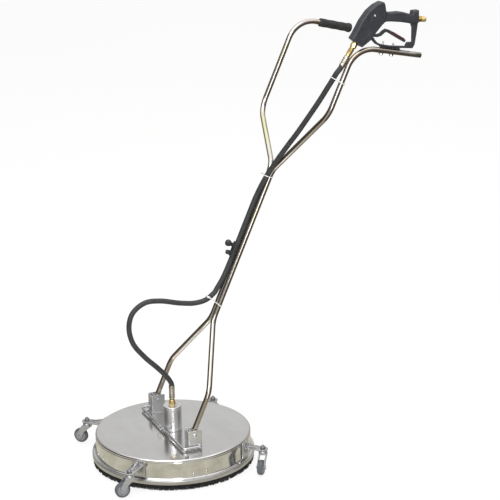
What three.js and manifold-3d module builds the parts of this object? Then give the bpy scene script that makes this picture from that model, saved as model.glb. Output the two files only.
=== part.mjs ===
// Flat-surface cleaner: a stainless pan on four swivel casters, a brush skirt,
// a rotating spray bar under the pan, a swivel on top of it, and a two-tube
// tilting handle that carries the trigger gun and the feed hose.
// Millimetres, +Z up. The working frame has its Z axis on the rotor axis and
// Z = 0 on the floor; +Y points back to the operator, +X to the operator's left.
// The whole assembly is moved at the end, so that the origin of the exported
// group is the floor point under the middle of its overall box.

import * as THREE from 'three';
import { mergeVertices } from 'three/addons/utils/BufferGeometryUtils.js';
import Module from 'manifold-3d';

const wasm = await Module();
wasm.setup();

// --------------------------------------------------------- shared dimensions
const GAP = 0.3;                 // clearance between neighbouring solids
const SIDES = [['left', 1], ['right', -1]];   // name, sign of X

// pan
const DECK_R = 260;              // outside of the skirt
const DECK_TOP = 102;            // top face of the pan above the floor
const DECK_T = 2;                // sheet thickness

// swivel and rotor shaft
const SWIVEL_TOP = 189;
const SWIVEL_NECK = 23;          // top of the inlet fitting above the swivel
const SHAFT_R = 12;

// handle hinge
const PIVOT_Y = 5;
const PIVOT_Z = 150;
const PIVOT_BOLT_R = 4;
const BRACKET_X = 170;           // bracket centre, each side
const BRACKET_W = 36;
const BRACKET_T = 3;

// handle tubes: spread, join, out and top are distances from the hinge axis along
// the lean; x is the hand grip's, droop its angle in degrees, end its length
const LEAN = THREE.MathUtils.degToRad(24.5);
const TUBE_R = 9;
const LEFT_PATH = { spread: 352, join: 886, out: 1130, x: 226, top: 1359.5, droop: 11.8, end: 236 };
const RIGHT_PATH = { spread: 352, join: 902, out: 1051, x: 230, top: 1377.7, droop: 14.4, end: 204 };

// hose
const HOSE_R = 8.6;
const HOSE_NEST = -16.1;         // hose centre, in front of the paired tubes
const FERRULE_SEAT = 8;          // depth of the ferrule floor
const HOSE_START = FERRULE_SEAT + 0.4;
const LOWER_FERRULE_L = 47;
const UPPER_FERRULE_L = 35;
const LOWER_FERRULE_Z = SWIVEL_TOP + SWIVEL_NECK + GAP;

// stop bail
const BAIL_R = 4.5;
const BAIL_Z = 111.5;
const BAIL_HINGE_Y = 23;

// ------------------------------------------------------------ mesh conversion
const rad = THREE.MathUtils.degToRad;
const vec = (x, y, z) => new THREE.Vector3(x, y, z);
const X_AXIS = vec(1, 0, 0);
const Y_AXIS = vec(0, 1, 0);
const Z_AXIS = vec(0, 0, 1);

// one welded, outward-facing closed mesh, from any three.js geometry
function weld(source) {
  const geometry = source.clone();
  geometry.deleteAttribute('normal');
  geometry.deleteAttribute('uv');
  const merged = mergeVertices(geometry, 1e-4);
  const position = merged.getAttribute('position');
  const index = merged.index.array;
  const corners = [vec(0, 0, 0), vec(0, 0, 0), vec(0, 0, 0)];
  const kept = [];
  let volume = 0;
  for (let i = 0; i < index.length; i += 3) {
    const triangle = Array.from(index.slice(i, i + 3));
    if (new Set(triangle).size < 3) continue;
    kept.push(...triangle);
    corners.forEach((corner, k) => corner.fromBufferAttribute(position, triangle[k]));
    volume += corners[0].dot(corners[1].cross(corners[2]));
  }
  if (volume < 0) {
    for (let i = 0; i < kept.length; i += 3) {
      [kept[i + 1], kept[i + 2]] = [kept[i + 2], kept[i + 1]];
    }
  }
  merged.setIndex(kept);
  merged.clearGroups();
  return merged;
}

function toManifold(geometry) {
  const welded = weld(geometry);
  return new wasm.Manifold(new wasm.Mesh({
    numProp: 3,
    vertProperties: new Float32Array(welded.getAttribute('position').array),
    triVerts: new Uint32Array(welded.index.array),
  }));
}

function fromManifold(manifold) {
  const mesh = manifold.getMesh();
  const geometry = new THREE.BufferGeometry();
  const positions = new Float32Array(mesh.numVert * 3);
  for (let i = 0; i < mesh.numVert; i++) {
    for (let k = 0; k < 3; k++) {
      positions[3 * i + k] = mesh.vertProperties[i * mesh.numProp + k];
    }
  }
  geometry.setAttribute('position', new THREE.BufferAttribute(positions, 3));
  geometry.setIndex(Array.from(mesh.triVerts));
  return geometry;
}

const join = (first, ...rest) =>
  fromManifold(rest.reduce((body, next) => body.add(toManifold(next)), toManifold(first)));
const cut = (first, ...rest) =>
  fromManifold(rest.reduce((body, next) => body.subtract(toManifold(next)), toManifold(first)));

// ------------------------------------------------------------- basic solids
// points on an arc, both ends included; angles in degrees
const arc = (x, y, radius, start, end, steps) => Array.from({ length: steps + 1 }, (_, i) => {
  const angle = rad(start + ((end - start) * i) / steps);
  return [x + radius * Math.cos(angle), y + radius * Math.sin(angle)];
});
const polygon = (radius, sides) => arc(0, 0, radius, 0, 360, sides).slice(0, -1);

// a body of revolution about +Z from a closed (radius, height) profile
function lathe(profile, segments) {
  const points = profile.map(([radius, z]) => new THREE.Vector2(radius, z));
  const onAxis = profile[0][0] === 0 && profile.at(-1)[0] === 0;
  if (!onAxis) points.push(points[0].clone());
  const geometry = new THREE.LatheGeometry(points, segments);
  geometry.rotateX(Math.PI / 2);
  return geometry;
}

// a plain ring about +Z; a solid disc when the inner radius is 0
const ring = (inner, outer, z0, z1, segments) =>
  lathe([[inner, z0], [outer, z0], [outer, z1], [inner, z1]], segments);

// a round rod or hole between two points
function rod(from, to, radius, sides) {
  const axis = to.clone().sub(from);
  const geometry = new THREE.CylinderGeometry(radius, radius, axis.length(), sides);
  geometry.applyQuaternion(new THREE.Quaternion().setFromUnitVectors(Y_AXIS, axis.normalize()));
  geometry.translate((from.x + to.x) / 2, (from.y + to.y) / 2, (from.z + to.z) / 2);
  return geometry;
}

const crossRod = (x0, x1, y, z, radius, sides) => rod(vec(x0, y, z), vec(x1, y, z), radius, sides);

// a directed line, its points found by distance from its start
const line = (start, direction) => ({
  direction,
  at: (distance) => start.clone().addScaledVector(direction, distance),
});
const lineRod = ({ at }, from, to, radius, sides) => rod(at(from), at(to), radius, sides);

// turns a geometry built along +Z so that it runs along a line
function along(geometry, { direction, at }, distance = 0) {
  const turn = new THREE.Quaternion().setFromUnitVectors(Z_AXIS, direction.clone().normalize());
  geometry.applyQuaternion(turn);
  geometry.translate(...at(distance));
  return geometry;
}

function box(x0, x1, y0, y1, z0, z1) {
  const geometry = new THREE.BoxGeometry(x1 - x0, y1 - y0, z1 - z0);
  geometry.translate((x0 + x1) / 2, (y0 + y1) / 2, (z0 + z1) / 2);
  return geometry;
}

const toVectors = (points) => points.map(([x, y]) => new THREE.Vector2(x, y));

// an outline in the XY plane raised along Z
function plate(points, z0, z1) {
  const shape = new THREE.Shape(toVectors(points));
  const geometry = new THREE.ExtrudeGeometry(shape, { depth: z1 - z0, bevelEnabled: false });
  geometry.translate(0, 0, z0);
  return geometry;
}

// an outline in the XZ plane, given thickness along Y to both sides
function uprightPlate(points, thickness) {
  const geometry = plate(points, -thickness / 2, thickness / 2);
  geometry.rotateX(Math.PI / 2);
  return geometry;
}

// an outline in the YZ plane, given thickness along X, with its outer edges bevelled
function sidePlate(points, x0, x1, bevel = 0) {
  const geometry = new THREE.ExtrudeGeometry(new THREE.Shape(toVectors(points)), {
    depth: x1 - x0 - 2 * bevel,
    bevelEnabled: bevel > 0,
    bevelThickness: bevel,
    bevelSize: bevel,
    bevelOffset: -bevel,
    bevelSegments: 1,
  });
  geometry.translate(0, 0, x0 + bevel);
  geometry.applyMatrix4(new THREE.Matrix4().makeBasis(Y_AXIS, Z_AXIS, X_AXIS));
  return geometry;
}

// ------------------------------------------------------------ tubes and hoses
// a curve given by its stations: points along it with the direction at each
class Stations extends THREE.Curve {
  constructor(points, tangents) {
    super();
    this.points = points;
    this.tangents = tangents;
  }
  get steps() { return this.points.length - 1; }
  station(list, fraction) {
    const x = Math.min(Math.max(fraction, 0), 1) * this.steps;
    const i = Math.min(Math.floor(x + 1e-9), this.steps);
    const rest = x - i;
    if (rest < 1e-9 || i === this.steps) return list[i].clone();
    return list[i].clone().lerp(list[i + 1], rest);
  }
  getPointAt(fraction) { return this.station(this.points, fraction); }
  getTangentAt(fraction) { return this.station(this.tangents, fraction).normalize(); }
}

// straight runs joined by true bends: the stations are the ends of each
// straight run and a few points around each bend
function bentPath(corners, radii, perBend) {
  const points = [];
  const tangents = [];
  const add = (point, tangent) => {
    points.push(point);
    tangents.push(tangent.clone().normalize());
  };
  const last = corners.length - 1;
  add(corners[0], corners[1].clone().sub(corners[0]));
  for (let i = 1; i < last; i++) {
    const radius = radii[i - 1];
    const before = corners[i].clone().sub(corners[i - 1]).normalize();
    const after = corners[i + 1].clone().sub(corners[i]).normalize();
    const turn = before.angleTo(after);
    const start = corners[i].clone().addScaledVector(before, -radius * Math.tan(turn / 2));
    const normal = after.clone().addScaledVector(before, -after.dot(before)).normalize();
    const centre = start.clone().addScaledVector(normal, radius);
    for (let k = 0; k <= perBend; k++) {
      const angle = (turn * k) / perBend;
      const cos = Math.cos(angle);
      const sin = Math.sin(angle);
      add(
        centre.clone().addScaledVector(normal, -radius * cos).addScaledVector(before, radius * sin),
        before.clone().multiplyScalar(cos).addScaledVector(normal, sin),
      );
    }
  }
  add(corners[last], corners[last].clone().sub(corners[last - 1]));
  return new Stations(points, tangents);
}

// a smooth hose curve, with a straight length before it and optionally one after it
function hoseRun(through, head, tail = null) {
  const steps = 34;
  const curve = new THREE.CatmullRomCurve3(through, false, 'centripetal');
  const points = [];
  const tangents = [];
  for (let i = 0; i <= steps; i++) {
    points.push(curve.getPointAt(i / steps));
    tangents.push(curve.getTangentAt(i / steps));
  }
  const headDirection = through[0].clone().sub(head).normalize();
  tangents[0] = headDirection.clone();
  points.unshift(head);
  tangents.unshift(headDirection);
  if (tail) {
    const tailDirection = tail.clone().sub(through.at(-1)).normalize();
    tangents[tangents.length - 1] = tailDirection.clone();
    points.push(tail);
    tangents.push(tailDirection);
  }
  return new Stations(points, tangents);
}

// a round section swept along a path; a bore, if any, has six sides
function tube(path, outer, sides, bore = 0) {
  const shape = new THREE.Shape(toVectors(polygon(outer, sides)));
  if (bore) shape.holes.push(new THREE.Path(toVectors(polygon(bore, 6))));
  return new THREE.ExtrudeGeometry(shape, {
    steps: path.steps, extrudePath: path, bevelEnabled: false,
  });
}

// ------------------------------------------------------------ parts and groups
const FINISHES = {
  polished_steel: { color: 0xc9c8c4, roughness: 0.12, metalness: 1 },
  satin_steel: { color: 0xb4b5b7, roughness: 0.3, metalness: 1 },
  tube_steel: { color: 0xb9b2a6, roughness: 0.16, metalness: 1 },
  aluminium: { color: 0xa9aaae, roughness: 0.28, metalness: 1 },
  zinc: { color: 0xa8aaad, roughness: 0.4, metalness: 1 },
  brass: { color: 0xc9a04a, roughness: 0.25, metalness: 1 },
  black_rubber: { color: 0x3a3b3b, roughness: 0.7, metalness: 0 },
  slate_plastic: { color: 0x3c3e44, roughness: 0.55, metalness: 0 },
  dark_red: { color: 0x4c2528, roughness: 0.5, metalness: 0 },
  grip: { color: 0x262827, roughness: 0.8, metalness: 0 },
  bristle: { color: 0x17171a, roughness: 0.75, metalness: 0 },
  grey_tyre: { color: 0x666b70, roughness: 0.7, metalness: 0 },
  steel: { color: 0x8e9092, roughness: 0.35, metalness: 1 },
};

function part(name, source, finish) {
  const geometry = weld(source);
  geometry.computeVertexNormals();
  const material = new THREE.MeshStandardMaterial({ ...FINISHES[finish], flatShading: true });
  const mesh = new THREE.Mesh(geometry, material);
  mesh.name = name;
  return mesh;
}

const group = (...children) => new THREE.Group().add(...children);

// ------------------------------------------------------------ hose connections
// brass fitting along a line: thread, hexagon and collar, bored through;
// thread and hexagon are given as [radius, from, to], bore as [radius, from, to]
function brassFitting(name, axis, { thread, threadSegments, hexagon, collar, collarSegments, bore }) {
  const [threadR, threadFrom, threadTo] = thread;
  const [hexagonR, hexagonFrom, hexagonTo] = hexagon;
  const [boreR, boreFrom, boreTo] = bore;
  return part(name, cut(
    join(
      along(ring(0, threadR, threadFrom, threadTo, threadSegments), axis),
      along(plate(polygon(hexagonR, 6), hexagonFrom, hexagonTo), axis),
      along(lathe(collar, collarSegments), axis),
    ),
    lineRod(axis, boreFrom, boreTo, boreR, 12),
  ), 'brass');
}

function hoseFerrule(name, axis, start, length) {
  const outside = 10;
  const hole = 4;
  const end = start + length;
  return part(name, along(lathe([
    [hole, start], [outside - 0.8, start], [outside, start + 3], [outside, end - 2],
    [outside - 0.5, end], [HOSE_R + GAP, end], [HOSE_R + GAP, start + FERRULE_SEAT],
    [hole, start + FERRULE_SEAT],
  ], 16), axis), 'satin_steel');
}

// ---------------------------------------------------------------- pan and brush
const DECK_EDGE_R = 6;           // rolled top edge
const DECK_HOLE_R = 16;          // hole for the rotor shaft
const SKIRT_BOTTOM = 35;         // underside of the out-turned flange
const FLANGE_R = 271;
const STIFFENER_R = 72;
const STIFFENER_T = 4;
const RING_R = 272.5;            // brush carrier ring, outside
const RING_IN_R = 250;
const RING_TOP = SKIRT_BOTTOM - GAP;
const RING_BOTTOM = 21;
const RING_WALL = 2;
const RING_ROOF = RING_TOP - 3;  // underside of the channel's top
const RING_EDGE = 2.5;           // slanted outer top edge
const BRISTLE_OUT = 268;
const BRISTLE_IN = 256;

function deckPan() {
  const edgeX = DECK_R - DECK_EDGE_R;
  const edgeZ = DECK_TOP - DECK_EDGE_R;
  return part('deck_pan', lathe([
    [DECK_HOLE_R, DECK_TOP],
    ...arc(edgeX, edgeZ, DECK_EDGE_R, 90, 0, 2),
    [DECK_R, SKIRT_BOTTOM + DECK_T],
    [FLANGE_R, SKIRT_BOTTOM + DECK_T],
    [FLANGE_R, SKIRT_BOTTOM],
    [DECK_R - DECK_T, SKIRT_BOTTOM],
    ...arc(edgeX, edgeZ, DECK_EDGE_R - DECK_T, 0, 90, 1),
    [DECK_HOLE_R, DECK_TOP - DECK_T],
  ], 48), 'polished_steel');
}

function deckStiffener() {
  const top = DECK_TOP - DECK_T - GAP;
  return part('deck_stiffener', ring(DECK_HOLE_R, STIFFENER_R, top - STIFFENER_T, top, 16), 'steel');
}

// channel that holds the brush: open at the bottom, its top edge cut off at the outside
const brushCarrier = () => part('brush_carrier_ring', lathe([
  [RING_IN_R, RING_TOP], [RING_R - RING_EDGE, RING_TOP], [RING_R, RING_TOP - RING_EDGE],
  [RING_R, RING_BOTTOM], [RING_R - RING_WALL, RING_BOTTOM], [RING_R - RING_WALL, RING_ROOF],
  [RING_IN_R + RING_WALL, RING_ROOF], [RING_IN_R + RING_WALL, RING_BOTTOM],
  [RING_IN_R, RING_BOTTOM],
], 48), 'satin_steel');

const bristles = () =>
  part('brush_bristles', ring(BRISTLE_IN, BRISTLE_OUT, 0, RING_ROOF - GAP, 48), 'bristle');

// ---------------------------------------------------------------------- swivel
const SWIVEL_R = 31;
const SWIVEL_BOTTOM = DECK_TOP + GAP;
const SWIVEL_CHAMFER = 1.2;
const CAP_T = 7;
const CAP_CHAMFER = 2;
const BEARING_R = 20;
const BEARING_H = 14.5;
const BEARING_END_GAP = 0.5;
const LOWER_SHOULDER = 120;      // housing shoulder over the lower bearing
const UPPER_SHOULDER = 148;      // housing shoulder under the upper bearing
const SEAL_Z = [164, 171];
const INLET_THREAD_R = 7;
const SWIVEL_AXIS = line(vec(0, 0, SWIVEL_TOP), Z_AXIS);

function swivelHousing() {
  const top = SWIVEL_TOP - CAP_T - GAP;
  const seat = BEARING_R + GAP;
  const waist = SHAFT_R + 1.2;
  return part('swivel_housing', lathe([
    [SWIVEL_R, SWIVEL_BOTTOM + SWIVEL_CHAMFER], [SWIVEL_R, top], [seat, top],
    [seat, UPPER_SHOULDER], [waist, UPPER_SHOULDER], [waist, LOWER_SHOULDER],
    [seat, LOWER_SHOULDER], [seat, SWIVEL_BOTTOM], [SWIVEL_R - SWIVEL_CHAMFER, SWIVEL_BOTTOM],
  ], 28), 'aluminium');
}

function swivelCap() {
  const bore = INLET_THREAD_R + GAP;
  return part('swivel_cap', lathe([
    [bore, SWIVEL_TOP - CAP_T], [SWIVEL_R, SWIVEL_TOP - CAP_T],
    [SWIVEL_R, SWIVEL_TOP - CAP_CHAMFER], [SWIVEL_R - CAP_CHAMFER, SWIVEL_TOP], [bore, SWIVEL_TOP],
  ], 28), 'aluminium');
}

const shaftRing = (name, z0, z1, finish) =>
  part(name, ring(SHAFT_R + GAP, BEARING_R, z0, z1, 18), finish);

// thread in the cap, hexagon, and a neck for the hose
const swivelInlet = () => brassFitting('swivel_inlet_fitting', SWIVEL_AXIS, {
  thread: [INLET_THREAD_R, -6.5, 1],
  threadSegments: 20,
  hexagon: [11.5, GAP, 12],
  collar: [[0, 11], [10, 11], [10, 17], [8, 19], [8, SWIVEL_NECK], [0, SWIVEL_NECK]],
  collarSegments: 20,
  bore: [3.5, -10, 30],
});

function swivelParts() {
  const lowerTop = LOWER_SHOULDER - BEARING_END_GAP;
  const upperBottom = UPPER_SHOULDER + BEARING_END_GAP;
  return [
    swivelHousing(),
    swivelCap(),
    shaftRing('lower_bearing', lowerTop - BEARING_H, lowerTop, 'steel'),
    shaftRing('upper_bearing', upperBottom, upperBottom + BEARING_H, 'steel'),
    shaftRing('shaft_seal', ...SEAL_Z, 'black_rubber'),
    swivelInlet(),
    hoseFerrule('hose_ferrule_lower', SWIVEL_AXIS, SWIVEL_NECK + GAP, LOWER_FERRULE_L),
  ];
}

// ---------------------------------------------------------------------- brackets
const BRACKET_FRONT = -18;
const BRACKET_BACK = 30;
const BRACKET_TOP = 165;

// channel open to the back, with a floor; drilled for the bolt, and outside for the bail
function pivotBracket(side, sign) {
  const x0 = sign * BRACKET_X - BRACKET_W / 2;
  const x1 = x0 + BRACKET_W;
  const in0 = x0 + BRACKET_T;
  const in1 = x1 - BRACKET_T;
  const web = BRACKET_FRONT + BRACKET_T;
  const bottom = DECK_TOP + GAP;
  const channel = plate([
    [x0, BRACKET_FRONT], [x1, BRACKET_FRONT], [x1, BRACKET_BACK], [in1, BRACKET_BACK],
    [in1, web], [in0, web], [in0, BRACKET_BACK], [x0, BRACKET_BACK],
  ], bottom, BRACKET_TOP);
  const bailHole = sign > 0 ? [in1 - 1, x1 + 1] : [x0 - 1, in0 + 1];
  return part(`pivot_bracket_${side}`, cut(
    join(channel, box(x0, x1, BRACKET_FRONT, BRACKET_BACK, bottom, bottom + BRACKET_T)),
    crossRod(x0 - 1, x1 + 1, PIVOT_Y, PIVOT_Z, PIVOT_BOLT_R + 0.5, 12),
    crossRod(...bailHole, BAIL_HINGE_Y, BAIL_Z, BAIL_R + 0.5, 10),
  ), 'satin_steel');
}

// bolt through the bracket and the eye: domed head outside, nut inside
function pivotBolt(side, sign) {
  const grip = BRACKET_W / 2 + GAP;
  const axis = line(vec(sign * BRACKET_X, PIVOT_Y, PIVOT_Z), vec(sign, 0, 0));
  return part(`pivot_bolt_${side}`, along(lathe([
    [0, -grip - 6], [6.2, -grip - 6], [6.2, -grip], [PIVOT_BOLT_R, -grip], [PIVOT_BOLT_R, grip],
    [6.8, grip], [6.4, grip + 2.6], [4.6, grip + 4], [0, grip + 4.4],
  ], 12), axis), 'steel');
}

const buildDeck = () => group(
  deckPan(), deckStiffener(), brushCarrier(), bristles(), ...swivelParts(),
  ...SIDES.flatMap(([side, sign]) => [pivotBracket(side, sign), pivotBolt(side, sign)]),
);

// ------------------------------------------------------------------------ rotor
const SHAFT_BORE_R = 4.5;
const SHAFT_TOP = 176;
const HUB_R = 24;
const HUB_Z = [43, 71];
const HUB_CHAMFER = 2;
const HUB_SOCKET_Z = 57;         // floor of the socket for the shaft
const ARM_Z = 50;
const ARM_R = 6;
const ARM_BORE_R = 4;
const NOZZLE_X = 226;            // radius at which the nozzles stand
const NOZZLE_R = 8;
const NOZZLE_TIP = 14;           // degrees each nozzle is tipped about its arm

function rotorShaft() {
  const bottom = HUB_SOCKET_Z + GAP;
  return part('rotor_shaft', lathe([
    [SHAFT_BORE_R, bottom], [SHAFT_R, bottom], [SHAFT_R, SHAFT_TOP - 2],
    [SHAFT_R - 1.5, SHAFT_TOP], [SHAFT_BORE_R, SHAFT_TOP],
  ], 18), 'steel');
}

function rotorHub() {
  const [bottom, top] = HUB_Z;
  const socket = SHAFT_R + GAP;
  return part('rotor_hub', cut(
    lathe([
      [0, bottom], [HUB_R - HUB_CHAMFER, bottom], [HUB_R, bottom + HUB_CHAMFER],
      [HUB_R, top - HUB_CHAMFER], [HUB_R - HUB_CHAMFER, top], [socket, top],
      [socket, HUB_SOCKET_Z], [0, HUB_SOCKET_Z],
    ], 18),
    crossRod(-30, -10, 0, ARM_Z, ARM_R + GAP, 12),
    crossRod(10, 30, 0, ARM_Z, ARM_R + GAP, 12),
  ), 'brass');
}

const sprayArm = (tag, sign) => part(`spray_arm_${tag}`, cut(
  crossRod(sign * 12, sign * (NOZZLE_X - NOZZLE_R - 0.4), 0, ARM_Z, ARM_R, 14),
  crossRod(sign * 10, sign * NOZZLE_X, 0, ARM_Z, ARM_BORE_R, 10),
), 'satin_steel');

// the jet is tipped about the arm, so that its reaction turns the bar
function nozzle(tag, sign) {
  const body = join(
    rod(vec(0, 0, 9), vec(0, 0, -9), NOZZLE_R, 14),
    plate(polygon(7.5, 6), -16, -8),
    lathe([[0, -21], [2.6, -21], [4.6, -15], [0, -15]], 12),
  );
  body.rotateX(rad(sign * NOZZLE_TIP));
  body.translate(sign * NOZZLE_X, 0, ARM_Z);
  const feed = crossRod(sign * (NOZZLE_X - 12), sign * (NOZZLE_X - 2), 0, ARM_Z, ARM_BORE_R, 10);
  return part(`nozzle_${tag}`, cut(body, feed), 'brass');
}

const buildRotor = () => group(
  rotorShaft(), rotorHub(),
  ...[['a', 1], ['b', -1]].flatMap(([tag, sign]) => [sprayArm(tag, sign), nozzle(tag, sign)]),
);

// -------------------------------------------------------------------- stop bail
const BAIL_X = 196.5;
const BAIL_FRONT = -38.5 - BAIL_HINGE_Y;   // cross bar, from the bail's hinge
const CLIP_WIRE_R = 1.5;

function lockBail() {
  const end = BRACKET_X + BRACKET_W / 2 - 4.5;
  const path = bentPath([
    vec(end, 0, 0), vec(BAIL_X, 0, 0), vec(BAIL_X, BAIL_FRONT, 0),
    vec(-BAIL_X, BAIL_FRONT, 0), vec(-BAIL_X, 0, 0), vec(-end, 0, 0),
  ], [6, 11, 11, 6], 3);
  return part('lock_bail', tube(path, BAIL_R, 8), 'satin_steel');
}

// bent-wire keeper: hooked over the cross bar, its two legs standing in front of it
function bailClip() {
  const reach = BAIL_R + CLIP_WIRE_R + GAP + 0.3;
  const over = reach + 0.6;
  // x, y from the cross bar's centre, z
  const corners = [
    [16, -16, 12], [16, -reach - 3, -0.5], [16, -reach, 5.5], [16, 0, over], [4, 0.6, over],
    [-8, 0, over], [-8, -reach, 5.5], [-8, -reach - 3, -0.5], [-8, -14, 14],
  ].map(([x, y, z]) => vec(x, BAIL_FRONT + y, z));
  const path = bentPath(corners, [2.5, 2, 2, 2.5, 2.5, 2, 2.5], 2);
  return part('bail_clip', tube(path, CLIP_WIRE_R, 6), 'satin_steel');
}

function buildBail() {
  const bail = group(lockBail(), bailClip());
  bail.position.set(0, BAIL_HINGE_Y, BAIL_Z);
  return bail;
}

// ------------------------------------------------------------------------ handle
// handle frame: origin on the hinge axis, x across, y in front (-) of or behind (+)
// the tubes, z along the lean
const TUBE_BORE_R = 7.5;
const CENTRE_X = TUBE_R + GAP / 2;
const EYE_R = 13;
const LOWER_BEND_Z = 146;
const TUBE_BENDS = [70, 70, 60, 80, 86];
const CLAMP_Y = [660, 696.5];    // clamp bolts on the left hand grip, working frame

const toWorld = (x, y, z) => vec(
  x,
  PIVOT_Y + y * Math.cos(LEAN) + z * Math.sin(LEAN),
  PIVOT_Z - y * Math.sin(LEAN) + z * Math.cos(LEAN),
);
function intoHandle(geometry) {
  geometry.translate(0, -PIVOT_Y, -PIVOT_Z);
  geometry.rotateX(LEAN);
  return geometry;
}

// centre line of a hand grip in the handle frame, from the top bend
function gripLine(sign, { x, top, droop }) {
  const rise = LEAN - rad(droop);
  return line(vec(sign * x, 0, top), vec(0, Math.cos(rise), Math.sin(rise)));
}

function handleTube(sign, path) {
  const grip = gripLine(sign, path);
  return tube(bentPath([
    vec(sign * BRACKET_X, 0, EYE_R + GAP), vec(sign * BRACKET_X, 0, LOWER_BEND_Z),
    vec(sign * CENTRE_X, 0, path.spread), vec(sign * CENTRE_X, 0, path.join),
    vec(sign * path.x, 0, path.out), grip.at(0), grip.at(path.end),
  ], TUBE_BENDS, 4), TUBE_R, 10, TUBE_BORE_R);
}

// clamp bolts stand square to the left hand grip, in the working frame
const leftDroop = rad(LEFT_PATH.droop);
const gripDirection = vec(0, Math.cos(leftDroop), -Math.sin(leftDroop));
const gripUp = vec(0, Math.sin(leftDroop), Math.cos(leftDroop));
const gripTop = toWorld(LEFT_PATH.x, 0, LEFT_PATH.top);
const onGrip = (y) =>
  gripTop.clone().addScaledVector(gripDirection, (y - gripTop.y) / gripDirection.y);
const clampLines = CLAMP_Y.map((y) => line(onGrip(y), gripUp));
const clampHoles = () => clampLines.map((axis) => lineRod(axis, -40, 60, 3.5, 12));

function handleEye(side, sign) {
  const half = BRACKET_W / 2 - BRACKET_T - 1;
  const axis = line(vec(sign * BRACKET_X, 0, 0), X_AXIS);
  const eye = ring(PIVOT_BOLT_R + 0.4, EYE_R, -half, half, 18);
  return part(`handle_eye_${side}`, along(eye, axis), 'steel');
}

// moulded hand grip on the right tube: closed at the end, with a raised end bead
function handleGrip() {
  const length = 117;
  const bore = TUBE_R + GAP;
  const profile = [
    [0, 3.2], [11, 3.2], [14, 1.8], [15.8, -1.5], [15.8, -9], [14, -13], [14.6, -30],
    [13.8, -48], [14.6, -66], [13.8, -84], [14.6, -101], [13.4, -length], [bore, -length],
    [bore, 0], [0, 0],
  ];
  const grip = along(lathe(profile, 14), gripLine(-1, RIGHT_PATH), RIGHT_PATH.end + GAP);
  return part('handle_grip', grip, 'grip');
}

// snap-on hose clip with its two finger lobes
function hoseClip() {
  const inside = HOSE_R + 0.4;
  const outside = inside + 5;
  const lobeY = HOSE_NEST - HOSE_R - 3;
  const upperLobe = [
    [0, 0], [7, 0], [6, 10], [9.5, 14], [11.5, 19], [11, 25], [7, 29.5], [0, 30.5],
  ];
  const lowerLobe = [[0, 0], [6, 0], [7.6, 8], [8, 12], [6, 16.5], [0, 18]];
  return part('hose_clip', join(
    plate([
      ...arc(0, HOSE_NEST, inside, 200, 340, 8), ...arc(0, HOSE_NEST, outside, 340, 200, 8),
    ], 572, 622),
    along(lathe(upperLobe, 18), line(vec(0, lobeY, 609), vec(0, -1, 0.1))),
    along(lathe(lowerLobe, 18), line(vec(0, lobeY, 583), vec(0, -1, -0.15))),
  ), 'black_rubber');
}

function buildHandle() {
  const leftTube = cut(handleTube(1, LEFT_PATH), ...clampHoles().map(intoHandle));
  const handle = group(
    part('handle_tube_left', leftTube, 'tube_steel'),
    part('handle_tube_right', handleTube(-1, RIGHT_PATH), 'tube_steel'),
    ...SIDES.map(([side, sign]) => handleEye(side, sign)),
    handleGrip(),
    hoseClip(),
  );
  handle.position.set(0, PIVOT_Y, PIVOT_Z);
  handle.rotation.x = -LEAN;
  return handle;
}

// -------------------------------------------------------------------------- gun
// tables are (back, up) from the gun's datum point
const GUN_AT = vec(LEFT_PATH.x, 626.6, 1418.7);
const intoGun = (geometry) => geometry.translate(-GUN_AT.x, -GUN_AT.y, -GUN_AT.z);

// the wide head
const HEAD = [
  [-78, -3], [-66, 14], [-43.5, 52], [-19, 81], [5, 98], [26, 106], [36, 104], [40, 96],
  [42, 83], [44, 68], [42, 50], [37, 38.5], [28, 31], [6, 8], [-5, -8], [-18, -17],
  [-41.5, -32.5], [-60, -18],
];
// the narrower hand grip behind it
const HAND = [
  [26, 95], [34, 97], [40, 86], [46, 73], [54, 69.5], [69, 69], [90, 69], [112, 64],
  [137, 56], [140, 68], [162, 68], [162, 48], [161, 27], [134, 27], [98, 35], [62, 40],
  [46, 41], [37, 38.5], [28, 31], [16, 40],
];
// underside of the guard, from back to front
const GUARD_UNDERSIDE = [[124, -52], [63, -45], [27, -37], [10, -28]];
// the thin outline that includes the guard
const OUTLINE = [
  [-76, -3], [-64, 14], [-42, 52], [-17, 80], [6, 96], [26, 104], [37, 99], [42, 83],
  [48, 70], [69, 69], [90, 69], [112, 64], [137, 56], [140, 68], [162, 68], [162, 48],
  [161, 28], [156, -7], [150, -42], [142, -54], ...GUARD_UNDERSIDE, [0, -17], [-5, -8],
  [-17, -16], [-40, -31], [-59, -17],
];
// the opening inside the guard
const OPENING = [
  [6, 8], [28, 31], [37, 38.5], [46, 41], [62, 40], [98, 35], [137, 27], [142, 12],
  [142, -34], [124, -33], [118, -45], [64, -38.5], [31, -31], [15, -23], [6, -12], [1, 1],
];

// maps (along, square to) a direction through an origin to (back, up)
const planeFrame = ([back, up], [cos, sin]) => ([x, y]) =>
  [back + x * cos - y * sin, up + x * sin + y * cos];

const TRIGGER_PIN = [-9, 5];
const TRIGGER_PIN_R = 3;
const TRIGGER_HALF_W = 6;
const STEM_ANGLE = rad(35);      // direction of the trigger's push finger
const STEM_ARM = 10;
const STEM_CLEAR = 3.1;          // finger centre line to the stem end
const onFinger = planeFrame(TRIGGER_PIN, [Math.cos(STEM_ANGLE), Math.sin(STEM_ANGLE)]);

const pinLine = line(vec(0, ...TRIGGER_PIN), X_AXIS);
const stemLine = line(
  vec(0, ...onFinger([STEM_ARM, STEM_CLEAR])),
  vec(0, -Math.sin(STEM_ANGLE), Math.cos(STEM_ANGLE)),
);
const outletLine = line(vec(0, -59.5, -18), vec(0, -0.56, -0.8285).normalize());
const inletLine = line(vec(0, 162, 39), vec(0, 0.9885, -0.151).normalize());
const OUTLET_END = 50;
const UPPER_FERRULE = OUTLET_END + GAP;   // ferrule start along the outlet line

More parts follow.
